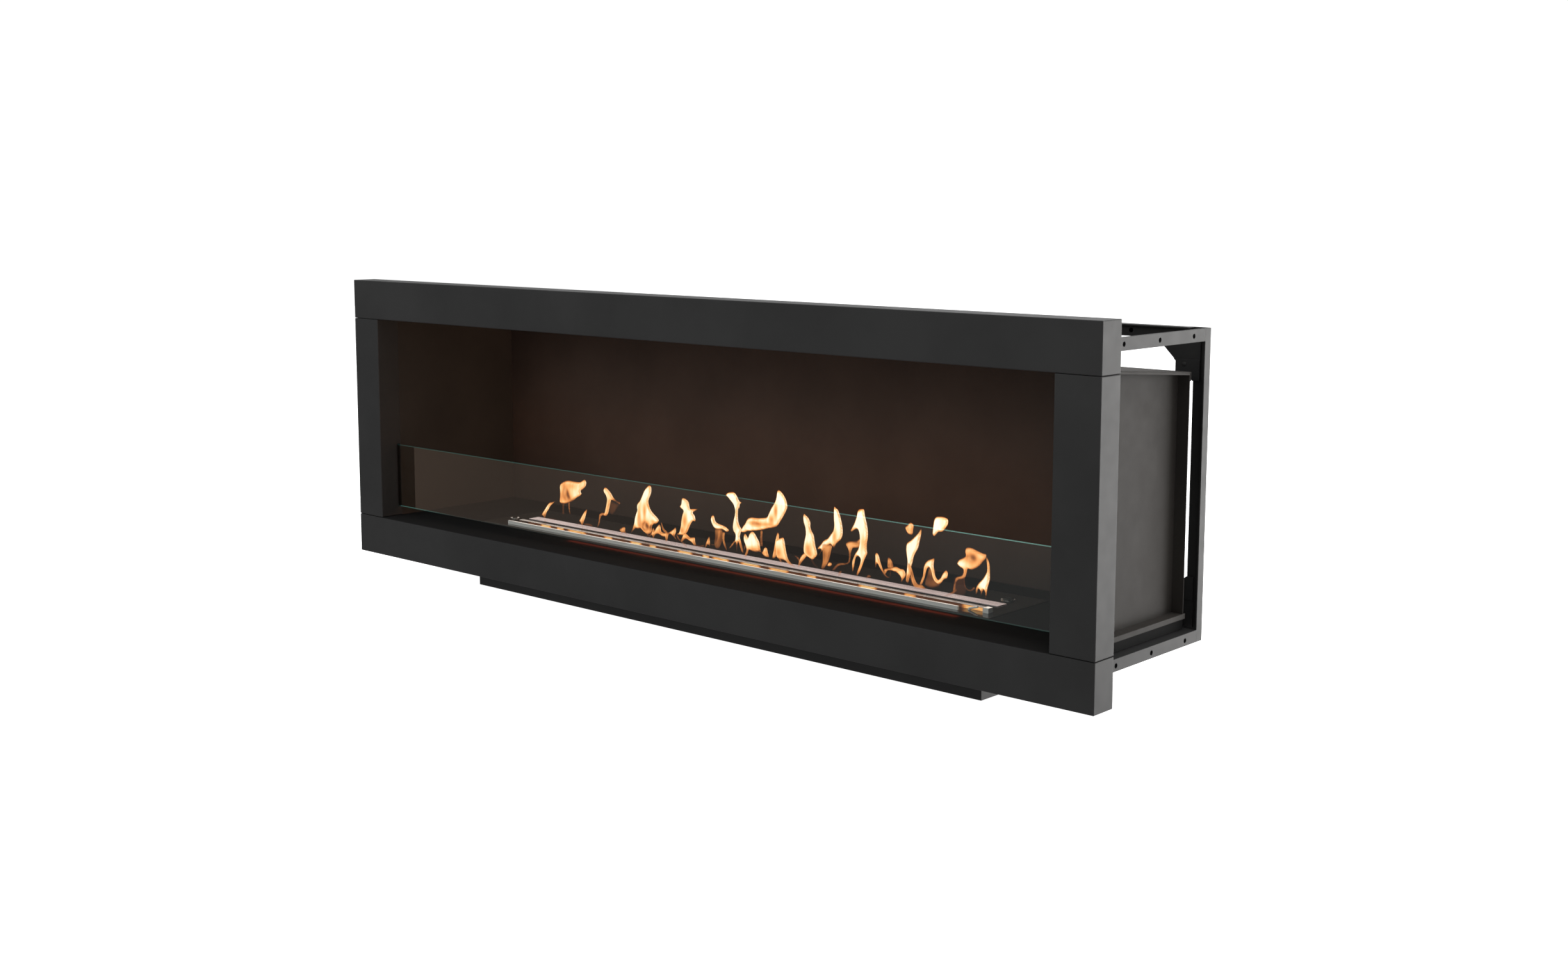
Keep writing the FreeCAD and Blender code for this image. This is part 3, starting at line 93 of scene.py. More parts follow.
# A broad flame: how hot it is (0 brown, 1 white), how opaque it is, its hollows, and
# its outline in (x, z). A hollow is (x, z, half width, half height, how much cooler).
SHEETS = {
    "boomerang": (0.95, 1, [(-535, 151, 8, 4, 0.4)], [
        (-542, 147), (-533, 155), (-524, 165), (-517, 173), (-510, 179), (-502, 181), (-493, 184),
        (-500, 178), (-508, 172), (-514, 164), (-521, 156), (-524, 149), (-525, 142), (-519, 137),
        (-526, 138), (-529, 147), (-534, 149)]),
    "pan": (0.9, 1, [(-457, 203, 12, 15, 0.8), (-468, 223, 13, 7, 0.25), (-474, 192, 7, 12, 0.3),
                     (-440, 222, 14, 7, 0.25), (-445, 195, 10, 7, 0.25)], [
        (-482, 185), (-480, 200), (-481, 215), (-478, 222), (-468, 228), (-455, 231), (-440, 231),
        (-428, 231), (-418, 232), (-410, 236), (-404, 238), (-400, 232), (-403, 224), (-412, 217),
        (-418, 213), (-415, 208), (-420, 203), (-430, 198), (-438, 192), (-448, 187), (-460, 183),
        (-470, 181), (-478, 181)]),
    "dart": (0.85, 1, [], [
        (-414, 152), (-408, 160), (-402, 168), (-396, 175), (-389, 180), (-392, 170), (-396, 160),
        (-401, 150), (-403, 142), (-400, 137), (-404, 137), (-406, 146), (-409, 152)]),
    "hook": (0.85, 1, [(-352, 172, 12, 8, 0.25), (-308, 204, 12, 6, 0.25)], [
        (-347, 222), (-345, 228), (-340, 229), (-334, 226), (-326, 220), (-318, 211), (-308, 206),
        (-299, 204), (-300, 200), (-308, 202), (-318, 205), (-325, 205), (-328, 198), (-331, 188),
        (-335, 177), (-341, 171), (-350, 171), (-356, 168), (-359, 160), (-362, 150), (-368, 145),
        (-364, 154), (-362, 164), (-360, 173), (-353, 177), (-345, 178), (-342, 186), (-339, 196),
        (-337, 206), (-340, 213), (-344, 217)]),
    "hook_veil": (0.3, 0.3, [], [
        (-326, 204), (-314, 202), (-301, 200), (-306, 192), (-314, 182), (-322, 176), (-329, 186)]),
    "tuft": (0.85, 1, [(-290, 150, 6, 5, 0.2)], [
        (-294, 149), (-292, 153), (-286, 156), (-280, 158), (-277, 156), (-277, 149), (-272, 145),
        (-265, 141), (-275, 143), (-281, 146), (-288, 142), (-298, 138), (-303, 137), (-296, 141),
        (-289, 146)]),
    "crest": (0.97, 1, [(-241, 178, 5, 20, 0.5), (-224, 166, 12, 10, 0.9), (-225, 196, 4, 16, 0.45),
                        (-202, 177, 6, 4, 0.4), (-256, 160, 6, 5, 0.3)], [
        (-270, 146), (-264, 158), (-260, 168), (-258, 178), (-254, 188), (-251, 194), (-252, 200),
        (-250, 207), (-243, 214), (-237, 224), (-230, 236), (-223, 243), (-217, 247), (-212, 245),
        (-211, 236), (-214, 227), (-219, 218), (-219, 210), (-214, 200), (-206, 193), (-198, 188),
        (-191, 182), (-192, 178), (-198, 173), (-206, 171), (-210, 165), (-211, 155), (-214, 152),
        (-222, 149), (-232, 152), (-242, 158), (-250, 157), (-258, 156), (-264, 151)]),
    "stub": (0.85, 1, [(-186, 160, 9, 6, 0.25)], [
        (-208, 150), (-203, 157), (-201, 164), (-198, 166), (-196, 160), (-192, 166), (-186, 172),
        (-182, 175), (-179, 170), (-177, 162), (-168, 160), (-160, 162), (-160, 154), (-172, 152),
        (-184, 155), (-194, 153), (-198, 146), (-200, 141), (-202, 150)]),
    "ridge": (0.85, 1, [(-150, 160, 12, 4, 0.2)], [
        (-166, 158), (-158, 162), (-150, 166), (-142, 171), (-137, 175), (-136, 168), (-137, 163),
        (-139, 158), (-135, 152), (-129, 148), (-137, 151), (-143, 156), (-150, 159), (-157, 157),
        (-159, 149), (-164, 140), (-165, 149)]),
    "lantern": (1.0, 1, [(-114, 190, 7, 15, 0.5), (-121, 170, 6, 8, 0.5)], [
        (-140, 160), (-134, 165), (-130, 176), (-128, 188), (-125, 200), (-122, 208), (-128, 212),
        (-132, 215), (-128, 221), (-126, 231), (-122, 233), (-114, 231), (-108, 226), (-106, 218),
        (-104, 214), (-95, 215), (-84, 216), (-92, 211), (-97, 207), (-92, 202), (-90, 192),
        (-97, 191), (-103, 184), (-108, 175), (-112, 168), (-117, 162), (-122, 160), (-128, 160)]),
    "hump": (0.85, 1, [(-104, 158, 9, 4, 0.2)], [
        (-121, 149), (-116, 160), (-112, 167), (-107, 167), (-101, 164), (-95, 161), (-88, 162),
        (-83, 162), (-82, 154), (-79, 147), (-85, 147), (-90, 151), (-98, 154), (-106, 156),
        (-112, 154), (-117, 149)]),
    "thorn": (0.85, 1, [], [
        (-60, 150), (-56, 158), (-52, 165), (-49, 168), (-48, 160), (-48, 150), (-53, 152),
        (-58, 146), (-67, 136), (-62, 144)]),
    "umbrella": (1.0, 1, [(-14, 184, 12, 4, 0.2)], [
        (-47, 200), (-45, 207), (-41, 210), (-38, 206), (-36, 200), (-30, 196), (-20, 194),
        (-10, 192), (-2, 188), (0, 185), (-6, 182), (-16, 185), (-28, 184), (-36, 185), (-42, 190)]),
    "umbrella_veil": (0.5, 0.6, [(-19, 168, 6, 12, 0.25)], [
        (-28, 186), (-22, 188), (-10, 186), (-9, 172), (-12, 160), (-18, 150), (-26, 149),
        (-30, 158), (-28, 172)]),
    "column": (1.0, 1, [(20, 190, 4, 12, 0.15), (23, 158, 9, 9, 0.35)], [
        (-8, 252), (-2, 257), (6, 259), (14, 259), (20, 254), (24, 248), (28, 244), (33, 242),
        (28, 238), (27, 231), (24, 229), (23, 218), (24, 206), (28, 197), (33, 191), (30, 184),
        (28, 176), (31, 168), (34, 158), (37, 148), (32, 150), (28, 160), (24, 168), (22, 158),
        (20, 147), (18, 158), (17, 166), (11, 160), (5, 154), (-1, 150), (5, 158), (11, 165),
        (16, 170), (17, 180), (12, 186), (10, 194), (12, 206), (15, 216), (16, 226), (12, 236),
        (4, 243), (-2, 248)]),
    "swoosh": (0.97, 1, [(76, 209, 19, 5, 0.6), (126, 238, 4, 12, 0.5), (115, 221, 6, 8, 0.5),
                         (108, 211, 14, 4, 0.35)], [
        (34, 188), (38, 197), (45, 205), (51, 214), (60, 218), (75, 219), (90, 221), (100, 224),
        (105, 232), (111, 242), (119, 253), (123, 262), (125, 273), (128, 277), (134, 275),
        (141, 269), (147, 260), (150, 250), (148, 243), (141, 231), (133, 220), (125, 210),
        (116, 206), (103, 203), (90, 199), (78, 196), (62, 193), (50, 191), (44, 188)]),
    "bulb": (1.0, 1, [(74, 160, 14, 7, 0.45), (98, 158, 6, 5, 0.35)], [
        (45, 180), (48, 187), (52, 184), (56, 180), (60, 188), (66, 193), (72, 191), (78, 184),
        (84, 176), (86, 168), (88, 160), (92, 159), (97, 166), (101, 168), (104, 165), (106, 158),
        (109, 151), (104, 150), (97, 151), (90, 156), (84, 157), (76, 155), (66, 156), (58, 157),
        (55, 150), (50, 143), (47, 146), (52, 156), (50, 165), (46, 172)]),
    "twin_left": (0.95, 1, [(119, 163, 3, 9, 0.45)], [
        (109, 148), (113, 165), (116, 180), (119, 190), (122, 197), (125, 194), (125, 184),
        (124, 174), (124, 164), (126, 156), (130, 148), (134, 141), (128, 144), (124, 150),
        (120, 156), (117, 150)]),
    "twin_right": (1.0, 1, [(136, 164, 7, 11, 0.5)], [
        (125, 182), (130, 187), (137, 190), (143, 191), (146, 184), (148, 174), (151, 162),
        (155, 153), (162, 147), (173, 142), (166, 141), (155, 144), (150, 148), (143, 150),
        (134, 150), (127, 153), (125, 165)]),
    "candle": (1.0, 1, [(205, 181, 8, 10, 0.5), (209, 170, 10, 6, 0.35)], [
        (192, 170), (191, 180), (193, 192), (196, 204), (195, 216), (191, 226), (190, 236),
        (192, 241), (196, 239), (202, 235), (207, 227), (207, 219), (210, 212), (215, 205),
        (217, 196), (219, 186), (222, 178), (223, 170), (218, 164), (212, 160), (205, 162),
        (198, 165)]),
    "ess": (1.0, 1, [(263, 208, 5, 14, 0.4), (255, 190, 8, 8, 0.35)], [
        (219, 180), (228, 190), (234, 197), (243, 202), (250, 210), (256, 218), (258, 228),
        (257, 240), (257, 252), (258, 261), (262, 259), (266, 257), (270, 250), (274, 240),
        (277, 228), (278, 216), (275, 206), (268, 199), (261, 192), (258, 186), (250, 192),
        (240, 187), (230, 178), (222, 168), (228, 180)]),
    "ess_foot": (0.54, 0.85, [(248, 174, 6, 10, 0.2)], [
        (238, 192), (248, 194), (261, 193), (259, 183), (257, 174), (254, 165), (250, 157),
        (244, 150), (239, 145), (236, 150), (239, 162), (239, 176)]),
    "spark": (1.0, 1, [], [(245, 153), (249, 160), (256, 158), (252, 153)]),
    "drift": (0.62, 0.9, [(313, 204, 8, 4, 0.3)], [
        (255, 146), (262, 155), (270, 161), (280, 163), (290, 165), (294, 172), (294, 184),
        (292, 190), (287, 197), (289, 201), (296, 204), (306, 206), (316, 210), (324, 217),
        (325, 210), (322, 202), (318, 196), (310, 194), (303, 192), (299, 184), (298, 174),
        (296, 166), (288, 161), (276, 158), (268, 154), (261, 147)]),
    "tower": (1.0, 1, [(336, 208, 4, 13, 0.35), (326, 263, 4, 3, 0.3)], [
        (304, 225), (308, 232), (313, 241), (317, 251), (320, 262), (324, 266), (330, 267),
        (334, 266), (336, 256), (340, 244), (343, 230), (343, 218), (341, 206), (341, 195),
        (342, 190), (338, 182), (334, 174), (330, 164), (325, 154), (319, 146), (318, 150),
        (322, 160), (326, 170), (327, 178), (322, 182), (317, 180), (314, 172), (312, 162),
        (309, 151), (308, 160), (308, 170), (311, 178), (315, 186), (321, 194), (324, 203),
        (325, 212), (324, 222), (321, 229), (317, 230), (311, 227), (307, 224)]),
    "needle": (0.95, 1, [(357, 170, 3, 8, 0.35)], [
        (353, 165), (353, 178), (353, 189), (357, 191), (361, 186), (364, 177), (368, 168),
        (374, 158), (380, 153), (386, 152), (379, 151), (371, 157), (363, 166), (358, 172)]),
    "wave": (0.82, 1, [(404, 164, 5, 4, 0.5)], [
        (377, 166), (382, 168), (392, 171), (402, 174), (412, 172), (420, 171), (424, 162),
        (418, 153), (414, 147), (414, 156), (409, 161), (400, 164), (392, 166), (384, 164),
        (380, 158), (379, 152), (377, 158)]),
    "chip": (0.6, 0.9, [(393, 176, 3, 5, 0.3)], [
        (387, 170), (386, 180), (387, 188), (391, 188), (396, 183), (399, 174), (397, 170)]),
    "sail": (1.0, 1, [(425, 158, 4, 7, 0.35)], [
        (420, 152), (422, 172), (423, 185), (421, 198), (420, 208), (422, 217), (430, 223),
        (439, 231), (446, 238), (452, 246), (452, 236), (449, 224), (446, 212), (440, 202),
        (436, 193), (434, 184), (431, 176), (430, 165), (428, 156), (425, 148)]),
    "sail_foot": (0.72, 0.95, [(439, 168, 4, 8, 0.2)], [
        (432, 186), (438, 179), (442, 170), (446, 159), (452, 152), (460, 152), (466, 149),
        (472, 145), (460, 143), (446, 144), (440, 152), (437, 162), (433, 170), (430, 178)]),
    "ember_small": (0.78, 1, [(431, 243, 6, 5, 0.15)], [
        (422, 245), (427, 250), (431, 254), (435, 255), (440, 251), (439, 243), (438, 236),
        (434, 234), (427, 236)]),
    "ember_large": (1.0, 1, [], [
        (477, 241), (478, 252), (480, 264), (484, 270), (492, 272), (502, 272), (509, 269),
        (509, 261), (505, 255), (499, 248), (494, 246), (489, 245), (484, 240), (480, 237)]),
    "double": (0.92, 1, [], [
        (458, 153), (464, 168), (466, 182), (469, 190), (475, 196), (482, 199), (488, 201),
        (487, 190), (488, 180), (491, 171), (496, 166), (502, 170), (506, 177), (511, 183),
        (514, 184), (517, 179), (515, 171), (509, 168), (503, 161), (497, 158), (490, 161),
        (485, 168), (482, 178), (478, 184), (473, 181), (470, 172), (467, 162), (462, 152)]),
    "double_veil": (0.42, 0.6, [(477, 165, 7, 8, 0.2)], [
        (463, 154), (468, 170), (472, 183), (478, 187), (484, 180), (486, 168), (490, 160),
        (496, 157), (488, 150), (476, 147), (466, 149)]),
    "cloud": (0.68, 1, [(564, 212, 12, 8, 0.45), (544, 199, 10, 7, -0.35), (583, 217, 6, 5, -0.2)], [
        (531, 198), (535, 204), (542, 208), (548, 213), (547, 221), (550, 227), (560, 228),
        (572, 225), (583, 222), (590, 221), (589, 214), (584, 208), (578, 201), (570, 195),
        (561, 191), (553, 191), (551, 184), (548, 176), (541, 172), (534, 170), (529, 163),
        (528, 152), (524, 144), (523, 152), (527, 168), (530, 174), (538, 177), (543, 181),
        (544, 189), (538, 192), (533, 195)]),
    "cloud_veil": (0.1, 0.9, [], [
        (530, 173), (541, 176), (549, 184), (551, 170), (555, 158), (550, 147), (530, 147)]),
    "ribbon": (1.0, 1, [(577, 163, 6, 7, 0.2)], [
        (588, 216), (592, 212), (595, 204), (596, 190), (596, 178), (592, 165), (590, 152),
        (588, 146), (587, 156), (584, 160), (580, 153), (578, 146), (578, 156), (573, 160),
        (571, 154), (568, 151), (569, 162), (574, 170), (581, 177), (586, 184), (590, 192),
        (590, 202)]),
}

# A thin flame: how hot and how opaque it is, and (x, z, half width) along its middle.
STRANDS = {
    "pan_leg": (0.45, 0.5, [(-465, 183, 3), (-466, 172, 2.2), (-466, 160, 2.6)]),
    "pan_leg_right": (0.65, 0.9, [(-446, 188, 2), (-446, 176, 1.8), (-443, 162, 1)]),
    "dart_tail": (0.6, 0.9, [(-440, 137, 0.8), (-430, 142, 1.5), (-420, 146, 1.5)]),
    "base_left": (0.6, 0.8, [(-402, 148, 1), (-392, 149, 2.2), (-380, 149, 2.2), (-370, 146, 1)]),
    "base_far_left": (0.55, 0.7, [(-520, 146, 0.8), (-500, 146, 1.4), (-485, 147, 0.8)]),
    "crest_arch": (0.65, 0.9, [(-236, 162, 1.5), (-230, 173, 2.2), (-220, 179, 2.4),
                               (-208, 181, 2)]),
    "crest_root": (0.7, 0.9, [(-214, 152, 1.6), (-207, 149, 1.6), (-200, 157, 2)]),
    "ridge_left": (0.7, 0.9, [(-182, 178, 1.2), (-177, 166, 2.4), (-166, 159, 3)]),
    "lantern_foot": (0.7, 0.9, [(-138, 160, 1.5), (-131, 152, 2), (-123, 148, 1.5),
                                (-116, 143, 2.8), (-108, 139, 1.5)]),
    "base_middle": (0.7, 0.9, [(-82, 148, 1.4), (-70, 147, 1.8), (-58, 150, 1.6)]),
    "umbrella_left": (0.7, 0.9, [(-48, 152, 0.8), (-39, 153, 1.3), (-32, 160, 1.8), (-28, 170, 2.2),
                                 (-26, 184, 2.6)]),
    "umbrella_right": (0.75, 0.95, [(0, 148, 0.8), (-5, 156, 2.2), (-9, 168, 2.4),
                                    (-8, 182, 2.8)]),
    "swoosh_tail": (0.6, 0.8, [(39, 151, 0.8), (46, 160, 1.6), (50, 170, 2)]),
    "swoosh_leg": (0.6, 0.85, [(83, 166, 2.2), (82, 180, 2.2), (82, 196, 3)]),
    "swoosh_leg_right": (0.6, 0.85, [(88, 168, 1.4), (88, 182, 1.6), (91, 198, 2)]),
    "leaf": (0.85, 1, [(176, 140, 1.5), (180, 150, 3), (187, 160, 4.4), (196, 168, 3.6),
                       (206, 173, 0.8)]),
    "leaf_low": (0.65, 0.9, [(166, 160, 0.8), (173, 157, 2), (179, 150, 2.4)]),
    "candle_right": (0.4, 0.5, [(212, 172, 3), (213, 162, 2), (220, 153, 2), (228, 149, 1)]),
    "wave_loop": (0.55, 0.7, [(386, 166, 1), (387, 158, 1.3), (384, 152, 1.2), (376, 153, 1.2),
                              (368, 158, 1)]),
    "sail_arch": (0.65, 0.8, [(428, 158, 1.2), (434, 160, 1.8), (437, 154, 1.8), (436, 147, 1)]),
    "double_root": (0.4, 0.5, [(499, 160, 1.4), (497, 154, 1.4), (494, 150, 0.8)]),
    "cloud_tail": (0.75, 0.9, [(528, 152, 2), (520, 145, 2.4), (508, 139, 2), (497, 135, 0.8)]),
    "ribbon_arch": (0.6, 0.7, [(549, 180, 1), (550, 166, 1.3), (555, 158, 1.5), (563, 157, 1.6),
                               (571, 163, 2)]),
    "peak_small": (0.8, 0.9, [(272, 138, 1), (276, 144, 3), (280, 149, 1)]),
    "peak_right": (0.7, 0.9, [(332, 142, 1), (338, 147, 3), (344, 146, 1)]),
}

# The mounting holes of the frame, mm, and the rings of the black disc that paints shade in each:
# radius, and depth inwards.
SIDE_HOLES = (-66.5, 38.5, 143.5)
REAR_HOLES = (-727.5, -242.5, 242.5, 727.5)
HOLE_HEIGHTS = (94, 588)
HOLE_RECESS = 0.6
SHADE_DISC_SIDES = 24
SHADE_DISC_RINGS = ((4.1, 0.0), (3.4, 0.3), (1.5, 0.6), (1.5, 0.9), (4.1, 0.9))

# Where fire shows along the inner rail: the middle and the length of each patch, mm.
GLOW_WINDOWS = ((-485, 26), (-440, 18), (-390, 46), (-297, 20), (-217, 27), (-170, 16),
                (-82, 32), (-26, 14), (12, 36), (88, 42), (158, 40), (237, 18), (365, 34),
                (458, 20), (591, 40))
GLOW_ENDS = (-540, 612)     # where the strip with these patches starts and stops, mm
GLOW_STEP = 4.0             # spacing of the points along it, mm
GLOW_AHEAD = (0.4, 0.1)     # how far its front and its back are in front of the rail, mm
GLOW_MARGINS = (0.3, 0.5)   # how far it stays from the rail's lower and upper edge, mm
GLOW_BASE = 0.2             # how much of the glow is there between the patches
GLOW_REACH = 0.7            # how far a patch glows from its middle, as a share of its length
GLOW_FADE = 0.4             # over how much of that it fades out, as a share of its length

GLASS_IOR = 1.52
GLASS_MIRRORS = 1.8         # a pane mirrors on both faces, and only the outer one does here
GLASS_PAINTED_SPAN = 0.82         # its painted reflection tint and painted edge light run this far to the left and right
GLASS_MIDDLE_Z = 0.2        # the upper cut edge is above this height, the lower one below
GLASS_FACING = 0.9          # the pane's faces look along Y by more than this, its edges by less

LIP_DEPTH = 4.0                 # the strip along the inner rail's front whose upper face carries a painted highlight, mm
BRUSH_STRETCH = (3, 600, 600)   # brush lines run along X
EDGE_RADIUS = 0.0012            # how far painted edges look rounded

STUDIO_BRIGHT_SIDE = (0.75, 0.55, 0.35)
STUDIO_STRENGTH = (0.3, 0.9)    # on the side opposite to that one, and on it
STUDIO_WHITE = 1.05             # what the camera sees behind the object
FLOOR_HALF = 9.0
FLOOR_DROP = 0.001              # how far the floor is below the object


# ------------------------------------------------------------------ node helpers
def new_material(name):
    material = bpy.data.materials.new(name)
    material.use_nodes = True
    material.node_tree.nodes.clear()
    return material, material.node_tree


def feed(tree, node, inputs):
    """Feeds inputs of a node, by name or number: a link from a socket, or a plain value."""
    for key, source in inputs.items():
        if isinstance(source, bpy.types.NodeSocket):
            tree.links.new(source, node.inputs[key])
        else:
            node.inputs[key].default_value = source


def add_node(tree, kind, inputs=None):
    node = tree.nodes.new("ShaderNode" + kind)
    feed(tree, node, inputs or {})
    return node


def surface(tree, shader):
    add_node(tree, "OutputMaterial", {"Surface": shader})


def principled(tree, inputs):
    surface(tree, add_node(tree, "BsdfPrincipled", inputs).outputs["BSDF"])


def maths(tree, operation, *sources):
    node = add_node(tree, "Math", dict(enumerate(sources)))
    node.operation = operation
    return node.outputs["Value"]


def dot(tree, place, direction):
    """How far a place lies along a direction."""
    node = add_node(tree, "VectorMath", {0: place, 1: direction})
    node.operation = "DOT_PRODUCT"
    return node.outputs["Value"]


def in_object(tree):
    """The shaded point in the object's own metres."""
    return add_node(tree, "TexCoord").outputs["Object"]


def object_place(tree):
    """X, Y and Z of that point."""
    return add_node(tree, "SeparateXYZ", {"Vector": in_object(tree)}).outputs


def facing(tree):
    """X, Y and Z of the direction in which the shaded face looks."""
    normal = add_node(tree, "NewGeometry").outputs["True Normal"]
    return add_node(tree, "SeparateXYZ", {"Vector": normal}).outputs


def mesh_value(tree, name):
    """A value that is written on the mesh's points."""
    node = add_node(tree, "Attribute")
    node.attribute_name = name
    return node.outputs["Fac"]


def scaled_noise(tree, scale, stretch=(1, 1, 1), detail=4.0):
    """Noise in the object's own metres, stretched along its axes."""
    mapping = add_node(tree, "Mapping", {"Vector": in_object(tree), "Scale": stretch})
    noise = add_node(tree, "TexNoise", {"Vector": mapping.outputs["Vector"], "Scale": scale,
                                        "Detail": detail})
    return noise.outputs["Fac"]


def map_range(tree, value, low, high, new_low=0.0, new_high=1.0):
    """A value taken from one range to another, and held inside it."""
    node = add_node(tree, "MapRange", {"Value": value, "From Min": low, "From Max": high,
                                       "To Min": new_low, "To Max": new_high})
    return node.outputs["Result"]


def between(tree, noise, low, high):
    """A value that runs from low to high over the middle half of a noise."""
    return map_range(tree, noise, 0.25, 0.75, low, high)


def colour_ramp(tree, factor, stops):
    """A colour that follows a factor through stops of (position, colour)."""
    ramp = add_node(tree, "ValToRGB", {"Fac": factor})
    elements = ramp.color_ramp.elements
    while len(elements) < len(stops):
        elements.new(0.5)
    for element, (position, colour) in zip(elements, stops):
        element.position = position
        element.color = (*colour, 1.0)
    return ramp.outputs["Color"]


def mix_colours(tree, factor, first, second):
    node = add_node(tree, "Mix")
    node.data_type = "RGBA"
    feed(tree, node, {"Factor": factor, "A": first, "B": second})
    return node.outputs["Result"]


def mix_shaders(tree, factor, first, second):
    return add_node(tree, "MixShader", {0: factor, 1: first, 2: second}).outputs["Shader"]


def bump(tree, height, strength, distance):
    node = add_node(tree, "Bump", {"Height": height, "Strength": strength, "Distance": distance})
    return node.outputs["Normal"]


def grey(value):
    return value, value, value


def scaled(colour, factor):
    return tuple(value * factor for value in colour)


# ------------------------------------------------------------------ materials
def matt_and_shaded_above(tree, colour, tone, gloss):
    """A paint's tone and gloss, but rougher on faces that look up, and darker there as painted
    shade.
    """
    upward = facing(tree)["Z"]
    painted_shade_tone = mix_colours(tree, upward, tone, (*scaled(colour, 0.3), 1))
    return painted_shade_tone, maths(tree, "MAXIMUM", gloss, upward)


def powder_paint(name, colour, roughness, specular=0.35, grain=900.0, grain_height=0.00008,
                 matt_and_shaded_top=False):
    """Dark powder coat: fine grain in the surface, faint clouds in tone and gloss."""
    material, tree = new_material(name)
    tone = colour_ramp(tree, scaled_noise(tree, 6.0), [(0.35, scaled(colour, 0.88)),
                                                       (0.65, scaled(colour, 1.12))])
    gloss = between(tree, scaled_noise(tree, 40.0), roughness - 0.03, roughness + 0.03)
    # painted shade: faces that look up get a darker tone as well as a rougher gloss
    if matt_and_shaded_top:
        tone, gloss = matt_and_shaded_above(tree, colour, tone, gloss)
    fine = scaled_noise(tree, grain, detail=2.0)
    normal = bump(tree, fine, strength=0.25, distance=grain_height)
    edges = add_node(tree, "Bevel", {"Radius": EDGE_RADIUS})
    feed(tree, normal.node, {"Normal": edges.outputs["Normal"]})
    principled(tree, {"Base Color": tone, "Roughness": gloss, "Specular IOR Level": specular,
                      "Normal": normal})
    return material


def brushed_metal(name, darker, lighter, roughness, metallic=1.0):
    """Metal with fine brush lines along X."""
    material, tree = new_material(name)
    streaks = scaled_noise(tree, 5.0, stretch=BRUSH_STRETCH, detail=3.0)
    clouds = scaled_noise(tree, 7.0, stretch=(1, 3, 3))
    principled(tree, {
        "Base Color": colour_ramp(tree, clouds, [(0.3, darker), (0.7, lighter)]),
        "Roughness": between(tree, streaks, roughness - 0.05, roughness + 0.07),
        "Metallic": metallic,
        "Normal": bump(tree, streaks, strength=0.04, distance=0.00001)})
    return material


def lip_steel(name):
    """Steel with a painted highlight on its front lip's upper face, and browned by the fire
    elsewhere.
    """
    material, tree = new_material(name)
    browned = scaled_noise(tree, 25.0, stretch=(1, 1, 4))
    brown = colour_ramp(tree, browned, [(0.35, (0.020, 0.012, 0.010)),
                                        (0.65, (0.090, 0.040, 0.028))])
    lip_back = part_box("burner_inner_rail")[0][1] + LIP_DEPTH * MM
    is_front = maths(tree, "LESS_THAN", object_place(tree)["Y"], lip_back)
    # painted highlight: the front lip's upward faces get a light colour
    bright = maths(tree, "MULTIPLY", facing(tree)["Z"], is_front)
    principled(tree, {
        "Base Color": mix_colours(tree, bright, brown, (0.30, 0.28, 0.27, 1)),
        "Roughness": between(tree, browned, 0.22, 0.36),
        "Metallic": 0.4})
    return material


def dull_plastic(name, colour, roughness=0.55, specular=0.5):
    material, tree = new_material(name)
    clouds = scaled_noise(tree, 30.0)
    fine = scaled_noise(tree, 1500.0, detail=2.0)
    principled(tree, {
        "Base Color": colour_ramp(tree, clouds, [(0.35, scaled(colour, 0.85)), (0.65, colour)]),
        "Roughness": between(tree, clouds, roughness - 0.05, roughness + 0.05),
        "Specular IOR Level": specular,
        "Normal": bump(tree, fine, strength=0.2, distance=0.00005)})
    return material


def glass_faces(tree, clear, along):
    """The pane's faces: clear, with a faint mirror on the outside whose colour is a painted
    reflection tint, warm at the left and neutral to the right.
    """
    # painted reflection: the mirror's colour changes along the pane
    painted_mirror_tint = colour_ramp(tree, along, [(0.0, (1.0, 0.74, 0.58)), (0.75, (0.72, 0.62, 0.54)),
                                     (0.9, (0.82, 0.84, 0.82))])
    mirror = add_node(tree, "BsdfGlossy", {"Color": painted_mirror_tint, "Roughness": 0.0})
    inside = add_node(tree, "NewGeometry").outputs["Backfacing"]
    outside = maths(tree, "SUBTRACT", 1.0, inside)
    fresnel = add_node(tree, "Fresnel", {"IOR": GLASS_IOR}).outputs["Fac"]
    both_faces = maths(tree, "MULTIPLY", fresnel, GLASS_MIRRORS)
    share = maths(tree, "MULTIPLY", both_faces, outside)
    return mix_shaders(tree, share, clear, mirror.outputs["BSDF"])


def glass_edges(tree, clear, along, height):
    """The cut edges: green-blue, with a painted highlight that grows to the right above, and painted
    shade below but for the ends.
    """
    # painted highlight and shade along the cut edges, by place
    upper = colour_ramp(tree, along, [(0.0, (0.03, 0.08, 0.07)), (0.6, (0.05, 0.15, 0.13)),
                                      (0.95, (0.22, 0.48, 0.42))])
    lower = colour_ramp(tree, along, [(0.0, (0.08, 0.24, 0.21)), (0.1, (0.01, 0.02, 0.02)),
                                      (0.82, (0.01, 0.02, 0.02)), (1.0, (0.03, 0.07, 0.06))])
    is_upper = maths(tree, "GREATER_THAN", height, GLASS_MIDDLE_Z)
    cut = add_node(tree, "BsdfDiffuse", {"Color": mix_colours(tree, is_upper, lower, upper)})
    rim = add_node(tree, "AddShader", {0: cut.outputs["BSDF"], 1: clear})
    return rim.outputs["Shader"]


